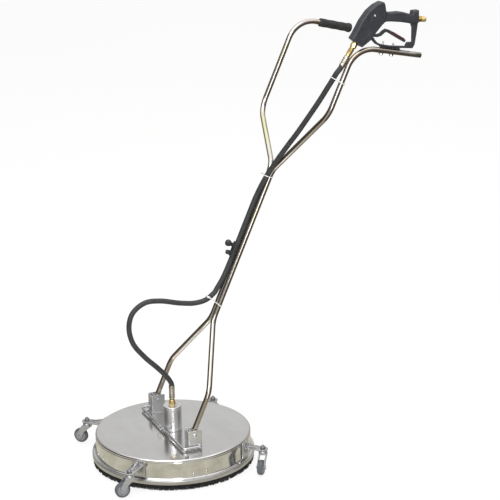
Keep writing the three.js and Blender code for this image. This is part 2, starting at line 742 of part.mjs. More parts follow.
// body hollowed for its inner parts and split into two halves at the middle
function gunShells() {
  const whole = join(
    cut(sidePlate(OUTLINE, -6.5, 6.5, 1.5), sidePlate(OPENING, -20, 20)),
    sidePlate(HEAD, -17, 17, 4),
    sidePlate(HAND, -13.5, 13.5, 4),
  );
  const slotHalf = TRIGGER_HALF_W + 0.6;
  const carved = cut(
    whole,
    lineRod(stemLine, 11, 47.5, 10.4, 16),                  // valve block
    lineRod(stemLine, 5, 12, 3.6, 12),                      // stem
    lineRod(outletLine, -20, 4, 7.4, 14),
    lineRod(inletLine, -24, 4, 7.4, 14),
    along(ring(0, 18, -slotHalf, slotHalf, 24), pinLine),   // trigger slot
    lineRod(pinLine, -13, 13, TRIGGER_PIN_R + GAP, 12),
    rod(stemLine.at(46), inletLine.at(-26), 4, 10),         // water ways
    rod(stemLine.at(46), outletLine.at(-22), 4, 10),
    ...clampHoles().map(intoGun),
  );
  const split = 0.15;            // each half stops this far from the middle
  const far = 400;
  const half = (name, x0, x1) =>
    part(name, cut(carved, box(x0, x1, -far, far, -far, far)), 'slate_plastic');
  return [half('gun_shell_left', -far, split), half('gun_shell_right', -split, far)];
}

const valveBlock = () => part('gun_valve_block', along(lathe([
  [3.1, 0], [10, 0], [10, 35.4], [0, 35.4], [0, 31], [3.1, 31],
], 20), stemLine, 11.5), 'brass');

const valveStem = () => part('gun_valve_stem', along(lathe([
  [0, 0], [2.2, 0], [2.8, 0.8], [2.8, 38], [0, 38],
], 12), stemLine), 'steel');

const triggerPin = () =>
  part('trigger_pin', lineRod(pinLine, -12.6, 12.6, TRIGGER_PIN_R, 14), 'steel');

// trigger centre line: back, up, half width
const LEVER = [
  [-9, 5, 6], [4, 0.5, 5], [16, -2, 4.6], [28, 0.5, 4.6], [38, 8, 4.8],
  [46, 12.4, 5], [56, 9, 5], [76, -3.5, 5], [97, -16.6, 5], [116, -28.5, 4.4],
];
// along and square to the straight back of the lever
const onLever = planeFrame([56, 9], [0.848, -0.53]);

// outline of a band of varying width about a centre line
function ribbon(stations) {
  const upper = [];
  const lower = [];
  stations.forEach(([y, z, half], i) => {
    const before = stations[Math.max(0, i - 1)];
    const after = stations[Math.min(stations.length - 1, i + 1)];
    const run = [after[0] - before[0], after[1] - before[1]];
    const length = Math.hypot(...run);
    const normalY = -run[1] / length;
    const normalZ = run[0] / length;
    upper.push([y + normalY * half, z + normalZ * half]);
    lower.push([y - normalY * half, z - normalZ * half]);
  });
  return [...upper, ...lower.reverse()];
}

// an S-shaped lever with an eye on the pin and a short push finger
function trigger() {
  const finger = [[0, -2.5], [12.5, -2.5], [12.5, 2.5], [0, 2.5]];
  const lockSeat = [[12.4, 0.2], [66, 0.2], [66, 14], [12.4, 14]];
  return part('gun_trigger', cut(
    join(
      sidePlate(ribbon(LEVER), -TRIGGER_HALF_W, TRIGGER_HALF_W, 1.2),
      along(ring(0, 7.5, -TRIGGER_HALF_W, TRIGGER_HALF_W, 20), pinLine),
      sidePlate(finger.map(onFinger), -4, 4),
    ),
    lineRod(pinLine, -20, 20, TRIGGER_PIN_R + 0.35, 14),
    sidePlate(lockSeat.map(onLever), -20, 20),
  ), 'slate_plastic');
}

// lock lever: lies on the back of the trigger
function triggerLock() {
  const outline = [
    [14, 5.6], [13, 3.2], [14.6, 0.7], [60, 0.7], [62, 0.4], [64.3, 1.3], [65.2, 3.6],
    [64.3, 5.9], [62, 6.8], [59, 6.2], [16, 6.2],
  ];
  return part('trigger_lock', sidePlate(outline.map(onLever), -5, 5, 0.6), 'dark_red');
}

const gunInlet = () => brassFitting('gun_inlet_fitting', inletLine, {
  thread: [7, -23, 1.5],
  threadSegments: 18,
  hexagon: [10.6, 1.2, 10.2],
  collar: [
    [0, 9], [7.8, 9], [7.8, 11.5], [9.4, 13], [9.4, 26], [8.4, 27.5], [0, 27.5],
  ],
  collarSegments: 24,
  bore: [4, -30, 40],
});

const gunOutlet = () => brassFitting('gun_outlet_fitting', outletLine, {
  thread: [7, -19, 2],
  threadSegments: 18,
  hexagon: [10.4, 1, 18],
  collar: [
    [0, 17], [7.6, 17], [7.6, 21], [9.2, 22.5], [9.2, 41], [8, 43], [8, OUTLET_END],
    [0, OUTLET_END],
  ],
  collarSegments: 20,
  bore: [3.5, -30, 60],
});

// saddle between the guard and the hand grip of the tube
function gunSaddle() {
  const onTube = (y) => {
    const point = onGrip(y).addScaledVector(gripUp, TUBE_R + 0.5);
    return [point.y, point.z];
  };
  const underGuard = (y) => {
    const back = y - GUN_AT.y;
    const i = GUARD_UNDERSIDE.findIndex(([station]) => station <= back);
    const [[back0, up0], [back1, up1]] = GUARD_UNDERSIDE.slice(i - 1, i + 1);
    return [y, GUN_AT.z + THREE.MathUtils.mapLinear(back, back0, back1, up0, up1) - 0.4];
  };
  const [, [guardBack], [guardFront]] = GUARD_UNDERSIDE;
  const topY = [722, 712, GUN_AT.y + guardBack, 672, GUN_AT.y + guardFront, 653];
  const saddle = sidePlate([onTube(653.5), onTube(722), ...topY.map(underGuard)], -8.5, 8.5);
  saddle.translate(GUN_AT.x, 0, 0);
  return part('gun_saddle', intoGun(cut(saddle, ...clampHoles())), 'black_rubber');
}

// bolt through guard, saddle and tube, its head under the tube
const clampBolt = (tag, axis, top) => part(`clamp_bolt_${tag}`, intoGun(join(
  lineRod(axis, -16, top, 3, 12),
  along(plate(polygon(6.4, 6), 0, 5), axis, -TUBE_R - 5.4),
)), 'steel');

function buildGun() {
  const gun = group(
    ...gunShells(), valveBlock(), valveStem(), triggerPin(), trigger(), triggerLock(),
    gunInlet(), gunOutlet(),
    hoseFerrule('hose_ferrule_upper', outletLine, UPPER_FERRULE, UPPER_FERRULE_L),
    gunSaddle(),
    clampBolt('front', clampLines[0], 29.5),
    clampBolt('rear', clampLines[1], 28),
  );
  gun.position.copy(GUN_AT);
  return gun;
}

// -------------------------------------------------------------------------- hose
// handle frame: x, y, z along the lean
const UPPER_HOSE = [
  [222, -26.6, 1262], [211, -25.6, 1237], [196, -24.5, 1203], [178, -23.2, 1162],
  [150, -21.9, 1106], [114, -21, 1036], [83, -20.4, 984], [54, -20, 930], [22, -18.8, 862],
  [3, HOSE_NEST - 1, 790], [0, HOSE_NEST - 0.2, 720], [0, HOSE_NEST - 0.2, 600],
  [0, HOSE_NEST - 0.6, 540], [0, -19, 492], [0, -26.5, 447],
];
// working frame, in the plane x = 0: y, z
const LOWER_HOSE = [
  [132, 541], [91, 535], [38, 543], [-32, 561], [-84, 562], [-127, 534], [-142, 488],
  [-131, 430], [-91, 374], [-47, 328], [-14, 289], [-1.2, 266],
];

function buildHoses() {
  const fromOutlet = (distance) => outletLine.at(distance).add(GUN_AT);
  const mouth = UPPER_FERRULE + UPPER_FERRULE_L;
  const upper = hoseRun([
    fromOutlet(mouth + 1), fromOutlet(mouth + 7), ...UPPER_HOSE.map((row) => toWorld(...row)),
  ], fromOutlet(UPPER_FERRULE + HOSE_START));
  const onward = line(upper.getPointAt(1), upper.getTangentAt(1));
  const lower = hoseRun([
    onward.at(8), ...LOWER_HOSE.map(([y, z]) => vec(0, y, z)),
    vec(0, 0, LOWER_FERRULE_Z + LOWER_FERRULE_L + 1),
  ], onward.at(GAP), vec(0, 0, LOWER_FERRULE_Z + HOSE_START));
  return [
    part('hose_upper', tube(upper, HOSE_R, 8), 'black_rubber'),
    part('hose_lower', tube(lower, HOSE_R, 8), 'black_rubber'),
  ];
}

// ----------------------------------------------------------------------- casters
const CASTER_R = 326.7;          // stem axis from the rotor axis
const CASTER_TRAIL = 25;
const WHEEL_R = 25;
const WHEEL_W = 18;
const AXLE_R = 3.1;
const FORK_W = 25;
const TONGUE_Z = 78;
const TONGUE_T = 4;
const TONGUE_HALF_W = 17;
const CASTERS = [
  // name, mounting angle, resting direction of the trail
  ['rear_left', 43.5, -39],
  ['rear_right', 133.5, 108],
  ['front_right', 223.5, 224],
  ['front_left', 313.5, 264],
];

// fixed bracket, in a frame whose +X points out from the rotor axis:
// back plate on the skirt, round-ended tongue, and a gusset above and below it
function casterBracket(name) {
  const root = DECK_R + 2;
  const inner = DECK_R + 3;
  const outer = CASTER_R - 13;
  const middle = TONGUE_Z + 2;
  const tongue = [
    [root, -TONGUE_HALF_W], ...arc(CASTER_R, 0, TONGUE_HALF_W, -90, 90, 6), [root, TONGUE_HALF_W],
  ];
  const upperGusset = [
    [inner, middle], [outer, middle], [outer, TONGUE_Z + 5.5], [DECK_R + 9, 96], [inner, 96],
  ];
  const lowerGusset = [[inner, middle], [inner, 52], [DECK_R + 8, 52], [DECK_R + 24, middle]];
  return part(`caster_bracket_${name}`, cut(
    join(
      box(DECK_R + 0.4, DECK_R + 4.4, -23, 23, 41, 97),
      plate(tongue, TONGUE_Z, TONGUE_Z + TONGUE_T),
      uprightPlate(upperGusset, 4),
      uprightPlate(lowerGusset, 4),
    ),
    rod(vec(CASTER_R, 0, 60), vec(CASTER_R, 0, 100), 5.6, 10),
  ), 'satin_steel');
}

// the swivelling parts lie in a frame on the stem axis whose +X points along the trail
const WHEEL_LINE = line(vec(CASTER_TRAIL, 0, WHEEL_R), Y_AXIS);

function casterFork(name) {
  const trail = CASTER_TRAIL;
  const cheeks = [
    [-13, 66], [14, 66], [24, 54], [trail + 9.2, 30], [trail + 9.6, 24], [trail + 6.8, 18.2],
    [trail, 15.4], [trail - 6.8, 18.2], [trail - 10, 26], [8, 42], [-13, 59],
  ];
  const headTop = TONGUE_Z - GAP;
  const tongueTop = TONGUE_Z + TONGUE_T;
  return part(`caster_fork_${name}`, cut(
    join(
      cut(uprightPlate(cheeks, FORK_W), box(-40, 60, -10.5, 10.5, 0, 63.5)),
      lathe([[0, 65], [13.5, 65], [14.5, 67], [14.5, 71], [12, 75], [9, headTop], [0, headTop]], 14),
      rod(vec(0, 0, 70), vec(0, 0, 94), 5, 10),
      plate(polygon(9, 6), tongueTop + GAP, tongueTop + 7.5),
    ),
    lineRod(WHEEL_LINE, -30, 30, AXLE_R + 0.3, 10),
  ), 'zinc');
}

function casterWheel(name) {
  const half = WHEEL_W / 2;
  // from the middle of the width to one side; the other side mirrors it
  const side = [
    [WHEEL_R, half - 4], [WHEEL_R - 3, half], [18, half], [17, half - 1.5], [8, half - 1.5],
    [7, half + 1], [3.6, half + 1],
  ];
  const mirrored = side.map(([radius, z]) => [radius, -z]).reverse();
  const wheel = lathe([...mirrored, ...side], 16);
  return part(`caster_wheel_${name}`, along(wheel, WHEEL_LINE), 'grey_tyre');
}

function casterAxle(name) {
  const half = FORK_W / 2 + GAP;
  const side = [[AXLE_R, half], [5.8, half], [5.8, half + 2], [4.8, half + 3], [0, half + 3]];
  const mirrored = side.map(([radius, z]) => [radius, -z]).reverse();
  const axle = lathe([...mirrored, ...side], 10);
  return part(`caster_axle_${name}`, along(axle, WHEEL_LINE), 'steel');
}

function buildCaster([name, degrees, trail]) {
  const angle = rad(degrees);
  const fixed = group(casterBracket(name));
  fixed.rotation.z = angle;
  const swivel = group(casterFork(name), casterWheel(name), casterAxle(name));
  swivel.position.set(CASTER_R * Math.cos(angle), CASTER_R * Math.sin(angle), 0);
  swivel.rotation.z = rad(trail);
  return [fixed, swivel];
}

// ---------------------------------------------------------------------- assembly
const object = group(
  buildDeck(), buildRotor(), buildBail(), buildHandle(), buildGun(), ...buildHoses(),
  ...CASTERS.flatMap(buildCaster),
);
object.name = 'surface_cleaner';

// origin on the floor, under the middle of the overall box
const bounds = new THREE.Box3().setFromObject(object, true);
const centre = bounds.getCenter(vec(0, 0, 0));
object.position.set(-centre.x, -centre.y, -bounds.min.z);

export default object;
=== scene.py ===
"""Flat-surface cleaner: finished surfaces, materials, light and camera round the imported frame.

A round deck with a brush skirt, a two-arm rotor, four casters, and a leaning handle of two tubes
with a spray gun and a hose. Shapes are written in millimetres in a working frame whose Z axis is
the rotor axis and whose Z = 0 is the floor; +X is the left side and +Y the rear, toward which the
handle leans. to_mesh() moves them into the row frame, in metres.
"""
import math

import bmesh
import bpy
import numpy as np
from mathutils import Matrix, Vector


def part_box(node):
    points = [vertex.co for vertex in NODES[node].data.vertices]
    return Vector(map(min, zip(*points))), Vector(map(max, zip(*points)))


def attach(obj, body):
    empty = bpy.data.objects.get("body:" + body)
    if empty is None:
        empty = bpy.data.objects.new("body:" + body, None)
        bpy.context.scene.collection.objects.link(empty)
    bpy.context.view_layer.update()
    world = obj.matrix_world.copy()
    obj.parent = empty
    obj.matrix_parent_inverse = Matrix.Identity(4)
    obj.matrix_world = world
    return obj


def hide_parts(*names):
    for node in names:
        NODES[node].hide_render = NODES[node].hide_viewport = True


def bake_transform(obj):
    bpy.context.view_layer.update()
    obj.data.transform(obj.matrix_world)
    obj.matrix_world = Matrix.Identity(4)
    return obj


rad = math.radians
TAU = 2 * math.pi
MM = 0.001
XY = ((1, 0, 0), (0, 1, 0))
XZ = ((1, 0, 0), (0, 0, 1))
YZ = ((0, 1, 0), (0, 0, 1))
ZERO, UP = (0, 0, 0), (0, 0, 1)


def vec(*values):
    return np.array(values, float)


def unit(vector):
    vector = np.array(vector, float)
    return vector / np.linalg.norm(vector)


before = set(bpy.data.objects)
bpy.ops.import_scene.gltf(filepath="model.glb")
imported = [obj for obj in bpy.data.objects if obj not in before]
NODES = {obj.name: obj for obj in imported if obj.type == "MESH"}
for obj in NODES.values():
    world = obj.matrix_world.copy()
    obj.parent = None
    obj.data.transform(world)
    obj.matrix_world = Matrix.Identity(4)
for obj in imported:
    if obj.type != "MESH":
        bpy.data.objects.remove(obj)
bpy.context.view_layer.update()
pan_low, pan_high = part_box("deck_pan")
# rotor axis in the row frame
ORIGIN = vec((pan_low.x + pan_high.x) * 500.0, (pan_low.y + pan_high.y) * 500.0, 0)

# main dimensions
DECK_R, DECK_TOP = 260.0, 102.0
PIVOT_X, PIVOT_Y, PIVOT_Z = 170, 5.0, 150.0
LEAN_COS, LEAN_SIN = math.cos(rad(24.5)), math.sin(rad(24.5))
TUBE_R = 9.0
HOSE_R = 8.6


# ------------------------------------------------------------------ geometry
# A part is a dict of vertices "v", faces "f" and face corner coordinates "uv" (or None).
def safe_acos(cosine):
    return math.acos(max(-1.0, min(1.0, float(cosine))))


def fillet(points, radius, steps=5, closed=True):
    """Rounds a polyline's corners in 2-D or 3-D. radius is one value or a list, one per corner."""
    points = [np.array(p, float) for p in points]
    count = len(points)
    rounded = []
    for i, corner in enumerate(points):
        wanted = radius[i] if isinstance(radius, list) else radius
        back, ahead = points[i - 1] - corner, points[(i + 1) % count] - corner
        back_len, ahead_len = np.linalg.norm(back), np.linalg.norm(ahead)
        open_end = not closed and i in (0, count - 1)
        if wanted <= 0 or open_end or min(back_len, ahead_len) < 1e-9:
            rounded.append(corner)
            continue
        back, ahead = back / back_len, ahead / ahead_len
        angle = safe_acos(back @ ahead)
        if angle > rad(174) or angle < rad(2):
            rounded.append(corner)
            continue
        inset = min(wanted / math.tan(angle / 2), 0.47 * back_len, 0.47 * ahead_len)
        fitted = inset * math.tan(angle / 2)
        centre = corner + unit(back + ahead) * (fitted / math.sin(angle / 2))
        start, end = corner + back * inset - centre, corner + ahead * inset - centre
        turn = safe_acos(float(start @ end) / (fitted * fitted))
        pieces = max(2, int(math.ceil(steps * turn / (math.pi / 2))))
        for j in range(pieces + 1):
            t = j / pieces
            blend = start * math.sin((1 - t) * turn) + end * math.sin(t * turn)
            rounded.append(centre + blend / math.sin(turn))
    return rounded


def arc(x, y, radius, start, end, steps):
    """Points on a circle round (x, y), angles in degrees."""
    angles = [rad(start + (end - start) * i / steps) for i in range(steps + 1)]
    return [(x + radius * math.cos(a), y + radius * math.sin(a)) for a in angles]


def turned(axis):
    return np.array(Vector(UP).rotation_difference(Vector(axis)).to_matrix())


def placed(part, origin, axis):
    """Carries a part built on +Z to an origin and an axis."""
    part["v"] = part["v"] @ turned(axis).T + vec(*origin)
    return part


def ring(radii, height, angles):
    x, y = radii * np.cos(angles), radii * np.sin(angles)
    return np.stack(np.broadcast_arrays(x, y, height), -1)


def grid(rings, closed=False, uv=None):
    """A part from rings of points: (rings, points, 3). Unless closed, each end gets a fan.

    uv is the run length at each ring and the length round the section.
    """
    rings = np.array(rings, float)
    count, around, _ = rings.shape
    verts, faces, uvs = [rings.reshape(-1, 3)], [], []
    for j in range(count if closed else count - 1):
        low, high = j * around, ((j + 1) % count) * around
        for i in range(around):
            k = (i + 1) % around
            faces.append((low + i, low + k, high + k, high + i))
            if uv:
                u0, u1 = uv[0][j], uv[0][j + 1]
                v0, v1 = uv[1] * i / around, uv[1] * (i + 1) / around
                uvs.append(((u0, v0), (u0, v1), (u1, v1), (u1, v0)))
    if not closed:
        for side, end in enumerate((0, count - 1)):
            verts.append(rings[end].mean(0)[None])
            for i in range(around):
                rim = (end * around + (i + 1) % around, end * around + i)
                faces.append((count * around + side, *(rim if end == 0 else rim[::-1])))
                uvs.append(((0, 0),) * 3)
    return {"v": np.concatenate(verts), "f": faces, "uv": uvs if uv else None}


def lathe(profile, segments=96, origin=ZERO, axis=UP, edge=0.0, steps=4, warp=None):
    """A body of revolution. The profile is (radius, height); on-axis ends close it, otherwise it
    is a loop. edge rounds its corners; warp(height, angles) is added to the radius."""
    solid = profile[0][0] < 1e-6 and profile[-1][0] < 1e-6
    points = fillet(profile, edge, steps, closed=not solid)
    if solid:
        points = points[1:-1]
    angles = np.arange(segments) * TAU / segments
    rings = [ring(r + (warp(z, angles) if warp else 0), z, angles) for r, z in points]
    return placed(grid(rings, closed=not solid), origin, axis)


def disc(radius, low, high, segments=48, origin=ZERO, axis=UP, edge=0.0, steps=4):
    """A solid cylinder between two heights on an axis."""
    profile = [(0, low), (radius, low), (radius, high), (0, high)]
    return lathe(profile, segments, origin, axis, edge, steps)


def rod(start, end, radius, segments=32, edge=0.5):
    start, end = vec(*start), vec(*end)
    length = float(np.linalg.norm(end - start))
    edge = min(edge, radius * 0.4, length * 0.4)
    return disc(radius, 0, length, segments, start, end - start, edge, 3)


def thread(radius, depth, pitch, length, origin, axis, segments=48, taper=1.2):
    steps = max(6, int(length / pitch * 6))
    turns = np.arange(segments) / segments
    rings = []
    for j in range(steps + 1):
        z = length * j / steps
        tooth = np.abs((z / pitch - turns) % 1.0 - 0.5) * 2
        fade = min(1.0, z / taper, (length - z) / taper)
        rings.append(ring(radius - depth * (1 - fade) - depth * tooth * fade, z, turns * TAU))
    return placed(grid(rings), origin, axis)


# hexagon nut sections: share of the height, radius limit over the flat's radius
NUT_STATIONS = [(0, 0.93), (0.06, 1.0), (0.12, 1.06), (0.2, 1.2),
                (0.8, 1.2), (0.88, 1.06), (0.94, 1.0), (1, 0.93)]


def hexnut(radius, height, origin, axis=UP):
    """A hexagon with its corners turned away at both faces."""
    angles = np.arange(72) * TAU / 72
    flat = radius * math.cos(math.pi / 6)
    hexagon = flat / np.cos(angles % (math.pi / 3) - math.pi / 6)
    rings = [ring(np.minimum(hexagon, flat * limit * 1.03), height * share, angles)
             for share, limit in NUT_STATIONS]
    return placed(grid(rings), origin, axis)


def run_lengths(path):
    return np.r_[0, np.cumsum(np.linalg.norm(np.diff(path, axis=0), axis=1))]


def points_at(path, wanted):
    """Points on a path at the wanted lengths along it."""
    lengths = run_lengths(path)
    return np.stack([np.interp(wanted, lengths, path[:, k]) for k in range(3)], -1)


BORE_DEPTH = 14


def sweep(path, radius, segments=24, cap=0.6, bore=0.0):
    """A round section along a path. radius is a number or a function of the length along it;
    cap is the radius of the rounded ends."""
    path = np.array(path, float)
    along = run_lengths(path)
    total = along[-1]
    extra = [cap * 0.3, cap, total - cap * 0.3, total - cap]
    along = np.unique(np.round(np.clip(np.r_[along, extra], 0, total), 5))
    along[-1] = total
    path = points_at(path, along)
    size = radius if callable(radius) else lambda length: radius
    tangents = np.gradient(path, axis=0)
    tangents /= np.linalg.norm(tangents, axis=1)[:, None]
    normal = unit(np.cross(tangents[0], vec(*UP) if abs(tangents[0][2]) < 0.9 else vec(1, 0, 0)))
    angles = np.arange(segments) * TAU / segments
    sections = []
    for tangent in tangents:
        normal = unit(normal - tangent * (normal @ tangent))
        side = np.cross(tangent, normal)
        sections.append(np.cos(angles)[:, None] * normal + np.sin(angles)[:, None] * side)
    rings = []
    for i, length in enumerate(along):
        local = size(length)
        from_end = min(length, total - length)
        if from_end < cap:
            local = local - cap + math.sqrt(max(0.0, cap * cap - (cap - from_end) ** 2))
        rings.append(path[i] + local * sections[i])
    if not bore:
        return grid(rings, uv=(along * MM, TAU * size(0) * MM))

    def bore_ring(end, depth):
        inward = tangents[0] if end == 0 else -tangents[-1]
        return path[end] + inward * depth + bore * sections[end]

    return grid([bore_ring(0, BORE_DEPTH), bore_ring(0, 0.3)] + rings
                + [bore_ring(-1, 0.3), bore_ring(-1, BORE_DEPTH)])


def bent(corners, radii, bend_steps, max_step=25.0):
    """Straight runs joined by true bends, as a list of points. radii has one per inner corner."""
    corners = [vec(*p) for p in corners]
    coarse = [corners[0]]
    for i in range(1, len(corners) - 1):
        radius = radii[i - 1]
        into, away = unit(corners[i] - corners[i - 1]), unit(corners[i + 1] - corners[i])
        turn = safe_acos(into @ away)
        start = corners[i] - into * (radius * math.tan(turn / 2))
        normal = unit(away - into * float(away @ into))
        centre = start + normal * radius
        for k in range(bend_steps + 1):
            t = turn * k / bend_steps
            coarse.append(centre - normal * radius * math.cos(t) + into * radius * math.sin(t))
    coarse.append(corners[-1])
    dense = [coarse[0]]
    for point in coarse[1:]:
        last = dense[-1]
        pieces = max(1, int(np.linalg.norm(point - last) / max_step))
        for j in range(1, pieces + 1):
            dense.append(last + (point - last) * j / pieces)
    return dense


def catmull(points, steps):
    """Centripetal Catmull-Rom through the points."""
    points = [vec(*p) for p in points]
    padded = [2 * points[0] - points[1]] + points + [2 * points[-1] - points[-2]]
    curve = []
    for i in range(len(points) - 1):
        p0, p1, p2, p3 = padded[i:i + 4]
        d0, d1, d2 = (max(1e-4, math.sqrt(np.linalg.norm(end - start)))
                      for start, end in ((p0, p1), (p1, p2), (p2, p3)))
        t1 = ((p1 - p0) / d0 - (p2 - p0) / (d0 + d1) + (p2 - p1) / d1) * d1
        t2 = ((p2 - p1) / d1 - (p3 - p1) / (d1 + d2) + (p3 - p2) / d2) * d1
        for k in range(steps):
            s = k / steps
            square = (-3 * p1 + 3 * p2 - 2 * t1 - t2) * s * s
            curve.append(p1 + t1 * s + square + (2 * p1 - 2 * p2 + t1 + t2) * s ** 3)
    curve.append(points[-1])
    return curve


def prism(outline, low, high, plane=XY, origin=ZERO, bevel=0.5, segments=2, corner=0.0):
    """An outline in a plane, thick from low to high along the plane's normal. bevel rounds the
    rims and corner rounds the outline."""
    across, up = unit(plane[0]), unit(plane[1])
    normal = np.cross(across, up)
    points = fillet(outline, corner)
    bm = bmesh.new()
    loops = [[bm.verts.new(vec(*origin) + across * p[0] + up * p[1] + normal * t) for p in points]
             for t in (low, high)]
    rims = bm.faces.new(loops[0][::-1]), bm.faces.new(loops[1])
    count = len(points)
    for i in range(count):
        k = (i + 1) % count
        bm.faces.new((loops[0][i], loops[0][k], loops[1][k], loops[1][i]))
    if bevel:
        edges = list(set(rims[0].edges) | set(rims[1].edges))
        bmesh.ops.bevel(bm, geom=edges, offset=bevel, segments=segments, profile=0.5,
                        affect="EDGES", clamp_overlap=True)
    bmesh.ops.recalc_face_normals(bm, faces=bm.faces)
    bm.verts.index_update()
    verts = np.array([vert.co for vert in bm.verts], float)
    faces = [tuple(vert.index for vert in face.verts) for face in bm.faces]
    bm.free()
    return {"v": verts, "f": faces, "uv": None}


def turn_z(part, degrees, origin=ZERO):
    c, s = math.cos(rad(degrees)), math.sin(rad(degrees))
    return {**part, "v": part["v"] @ vec([c, s, 0], [-s, c, 0], [0, 0, 1]) + vec(*origin)}


def bead(path, radius, pitch=2.6):
    """A weld bead: a rippled round run."""
    path = np.array(path, float)
    dense = points_at(path, np.arange(0, run_lengths(path)[-1], pitch / 6))
    ripple = lambda length: radius * (0.86 + 0.16 * abs(math.sin(math.pi * length / pitch)))
    return sweep(dense, ripple, 12, cap=radius * 0.8)


# --------------------------------------------------------------- into Blender
MATERIALS = {}


def to_mesh(name, parts):
    verts, faces, uvs, base = [], [], [], 0
    any_uv = any(part["uv"] for part in parts)
    for part in parts:
        verts.append(part["v"])
        faces += [tuple(i + base for i in face) for face in part["f"]]
        if any_uv:
            uvs += part["uv"] or [((0, 0),) * len(face) for face in part["f"]]
        base += len(part["v"])
    mesh = bpy.data.meshes.new(name)
    mesh.from_pydata(((np.concatenate(verts) + ORIGIN) * MM).tolist(), [], faces)
    if any_uv:
        layer = mesh.uv_layers.new(name="run")
        layer.data.foreach_set("uv", [c for face in uvs for corner in face for c in corner])
    mesh.validate(clean_customdata=False)
    return mesh


def finish_mesh(mesh, angle=32):
    """Turns faces outward and smooths all edges flatter than the angle in degrees."""
    bm = bmesh.new()
    bm.from_mesh(mesh)
    bmesh.ops.recalc_face_normals(bm, faces=bm.faces)
    for face in bm.faces:
        face.smooth = True
    for edge in bm.edges:
        edge.smooth = not (len(edge.link_faces) == 2 and edge.calc_face_angle(0) > rad(angle))
    bm.to_mesh(mesh)
    bm.free()


def add_object(name, mesh):
    ob = bpy.data.objects.new(name, mesh)
    bpy.context.scene.collection.objects.link(ob)
    return ob


def add_piece(name, mesh, material, body, node=None, blend=None):
    """Places a mesh as a piece riding a body, in place of a CAD node if one is given."""
    mesh.materials.clear()
    mesh.materials.append(MATERIALS[material])
    ob = add_object(name, mesh)
    if blend:
        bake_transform(ob)
    else:
        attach(ob, body)
    if node:
        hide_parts(node)


def emit(name, parts, material, body, node=None, angle=32, blend=None):
    mesh = to_mesh(name, [parts] if isinstance(parts, dict) else parts)
    finish_mesh(mesh, angle)
    add_piece(name, mesh, material, body, node, blend)


def skin(name, sources, voxel, smooth, cutters=()):
    """One continuous moulded or pressed skin from overlapping closed solids: remeshed, then
    relaxed. voxel is the size for a full and for a quick build; only the first, full-build size is
    read."""
    mesh = bpy.data.meshes.new(name + "_src")
    bm = bmesh.new()
    for source in sources:
        is_mesh = isinstance(source, bpy.types.Mesh)
        bm.from_mesh(source if is_mesh else to_mesh(name + "_p", [source]))
    bmesh.ops.remove_doubles(bm, verts=bm.verts, dist=1e-7)
    bmesh.ops.recalc_face_normals(bm, faces=bm.faces)
    bm.to_mesh(mesh)
    bm.free()
    ob = add_object(name + "_src", mesh)
    tools = []
    for i, cutter in enumerate(cutters):
        tool_mesh = to_mesh(f"{name}_cut{i}", [cutter])
        finish_mesh(tool_mesh)
        tools.append(add_object(f"{name}_cut{i}", tool_mesh))

    def add_remesh():
        remesh = ob.modifiers.new("remesh", "REMESH")
        remesh.mode = "VOXEL"
        remesh.voxel_size = voxel[0] * MM
        remesh.use_smooth_shade = True

    add_remesh()
    for tool in tools:
        cut = ob.modifiers.new("cut", "BOOLEAN")
        cut.operation, cut.object, cut.solver = "DIFFERENCE", tool, "EXACT"
    if tools:
        add_remesh()
    relax = ob.modifiers.new("relax", "SMOOTH")
    relax.factor, relax.iterations = 0.5, smooth
    bpy.context.view_layer.update()
    evaluated = ob.evaluated_get(bpy.context.evaluated_depsgraph_get())
    result = bpy.data.meshes.new_from_object(evaluated)
    result.name = name
    for used in [ob] + tools:
        bpy.data.objects.remove(used)
    for face in result.polygons:
        face.use_smooth = True
    return result


# ---------------------------------------------------------------- node trees
class Nodes:
    """Short calls that build a node tree; each returns the node's output."""

    def __init__(self, tree):
        self.tree = tree

    def feed(self, socket, value):
        """Links an output to a socket, or sets the socket to a number, vector or colour."""
        if isinstance(value, (int, float)):
            socket.default_value = value
        elif isinstance(value, tuple):
            socket.default_value = (*value, 1)[:len(socket.default_value)]
        else:
            self.tree.links.new(value, socket)

    def node(self, kind, inputs=None, **settings):
        node = self.tree.nodes.new("ShaderNode" + kind)
        for key, value in settings.items():
            setattr(node, key, value)
        for key, value in (inputs or {}).items():
            self.feed(node.inputs[key], value)
        return node

    def ramp(self, value, stops):
        """Stops are (position, grey or colour)."""
        node = self.node("ValToRGB", {"Fac": value})
        elements = node.color_ramp.elements
        while len(elements) < len(stops):
            elements.new(0.5)
        for element, (position, color) in zip(elements, stops):
            element.position = position
            element.color = (*color, 1) if isinstance(color, tuple) else (color,) * 3 + (1,)
        return node.outputs["Color"]

    def remap(self, value, span=(0.0, 1.0), to=(0.0, 1.0)):
        """Carries the range span onto the range to, clamped."""
        inputs = {"From Min": span[0], "From Max": span[1], "To Min": to[0], "To Max": to[1]}
        return self.node("MapRange", {"Value": value, **inputs}).outputs["Result"]

    def mix(self, share, first, second, mode="MIX"):
        inputs = {0: share, 6: first, 7: second}
        return self.node("Mix", inputs, data_type="RGBA", blend_type=mode).outputs[2]

    def calc(self, operation, *values):
        return self.node("Math", dict(enumerate(values)), operation=operation).outputs[0]

    def times(self, first, second):
        return self.calc("MULTIPLY", first, second)

    def dot(self, vector, direction):
        inputs = {0: vector, 1: tuple(direction)}
        return self.node("VectorMath", inputs, operation="DOT_PRODUCT").outputs["Value"]

    def split(self, vector):
        return self.node("SeparateXYZ", {0: vector}).outputs


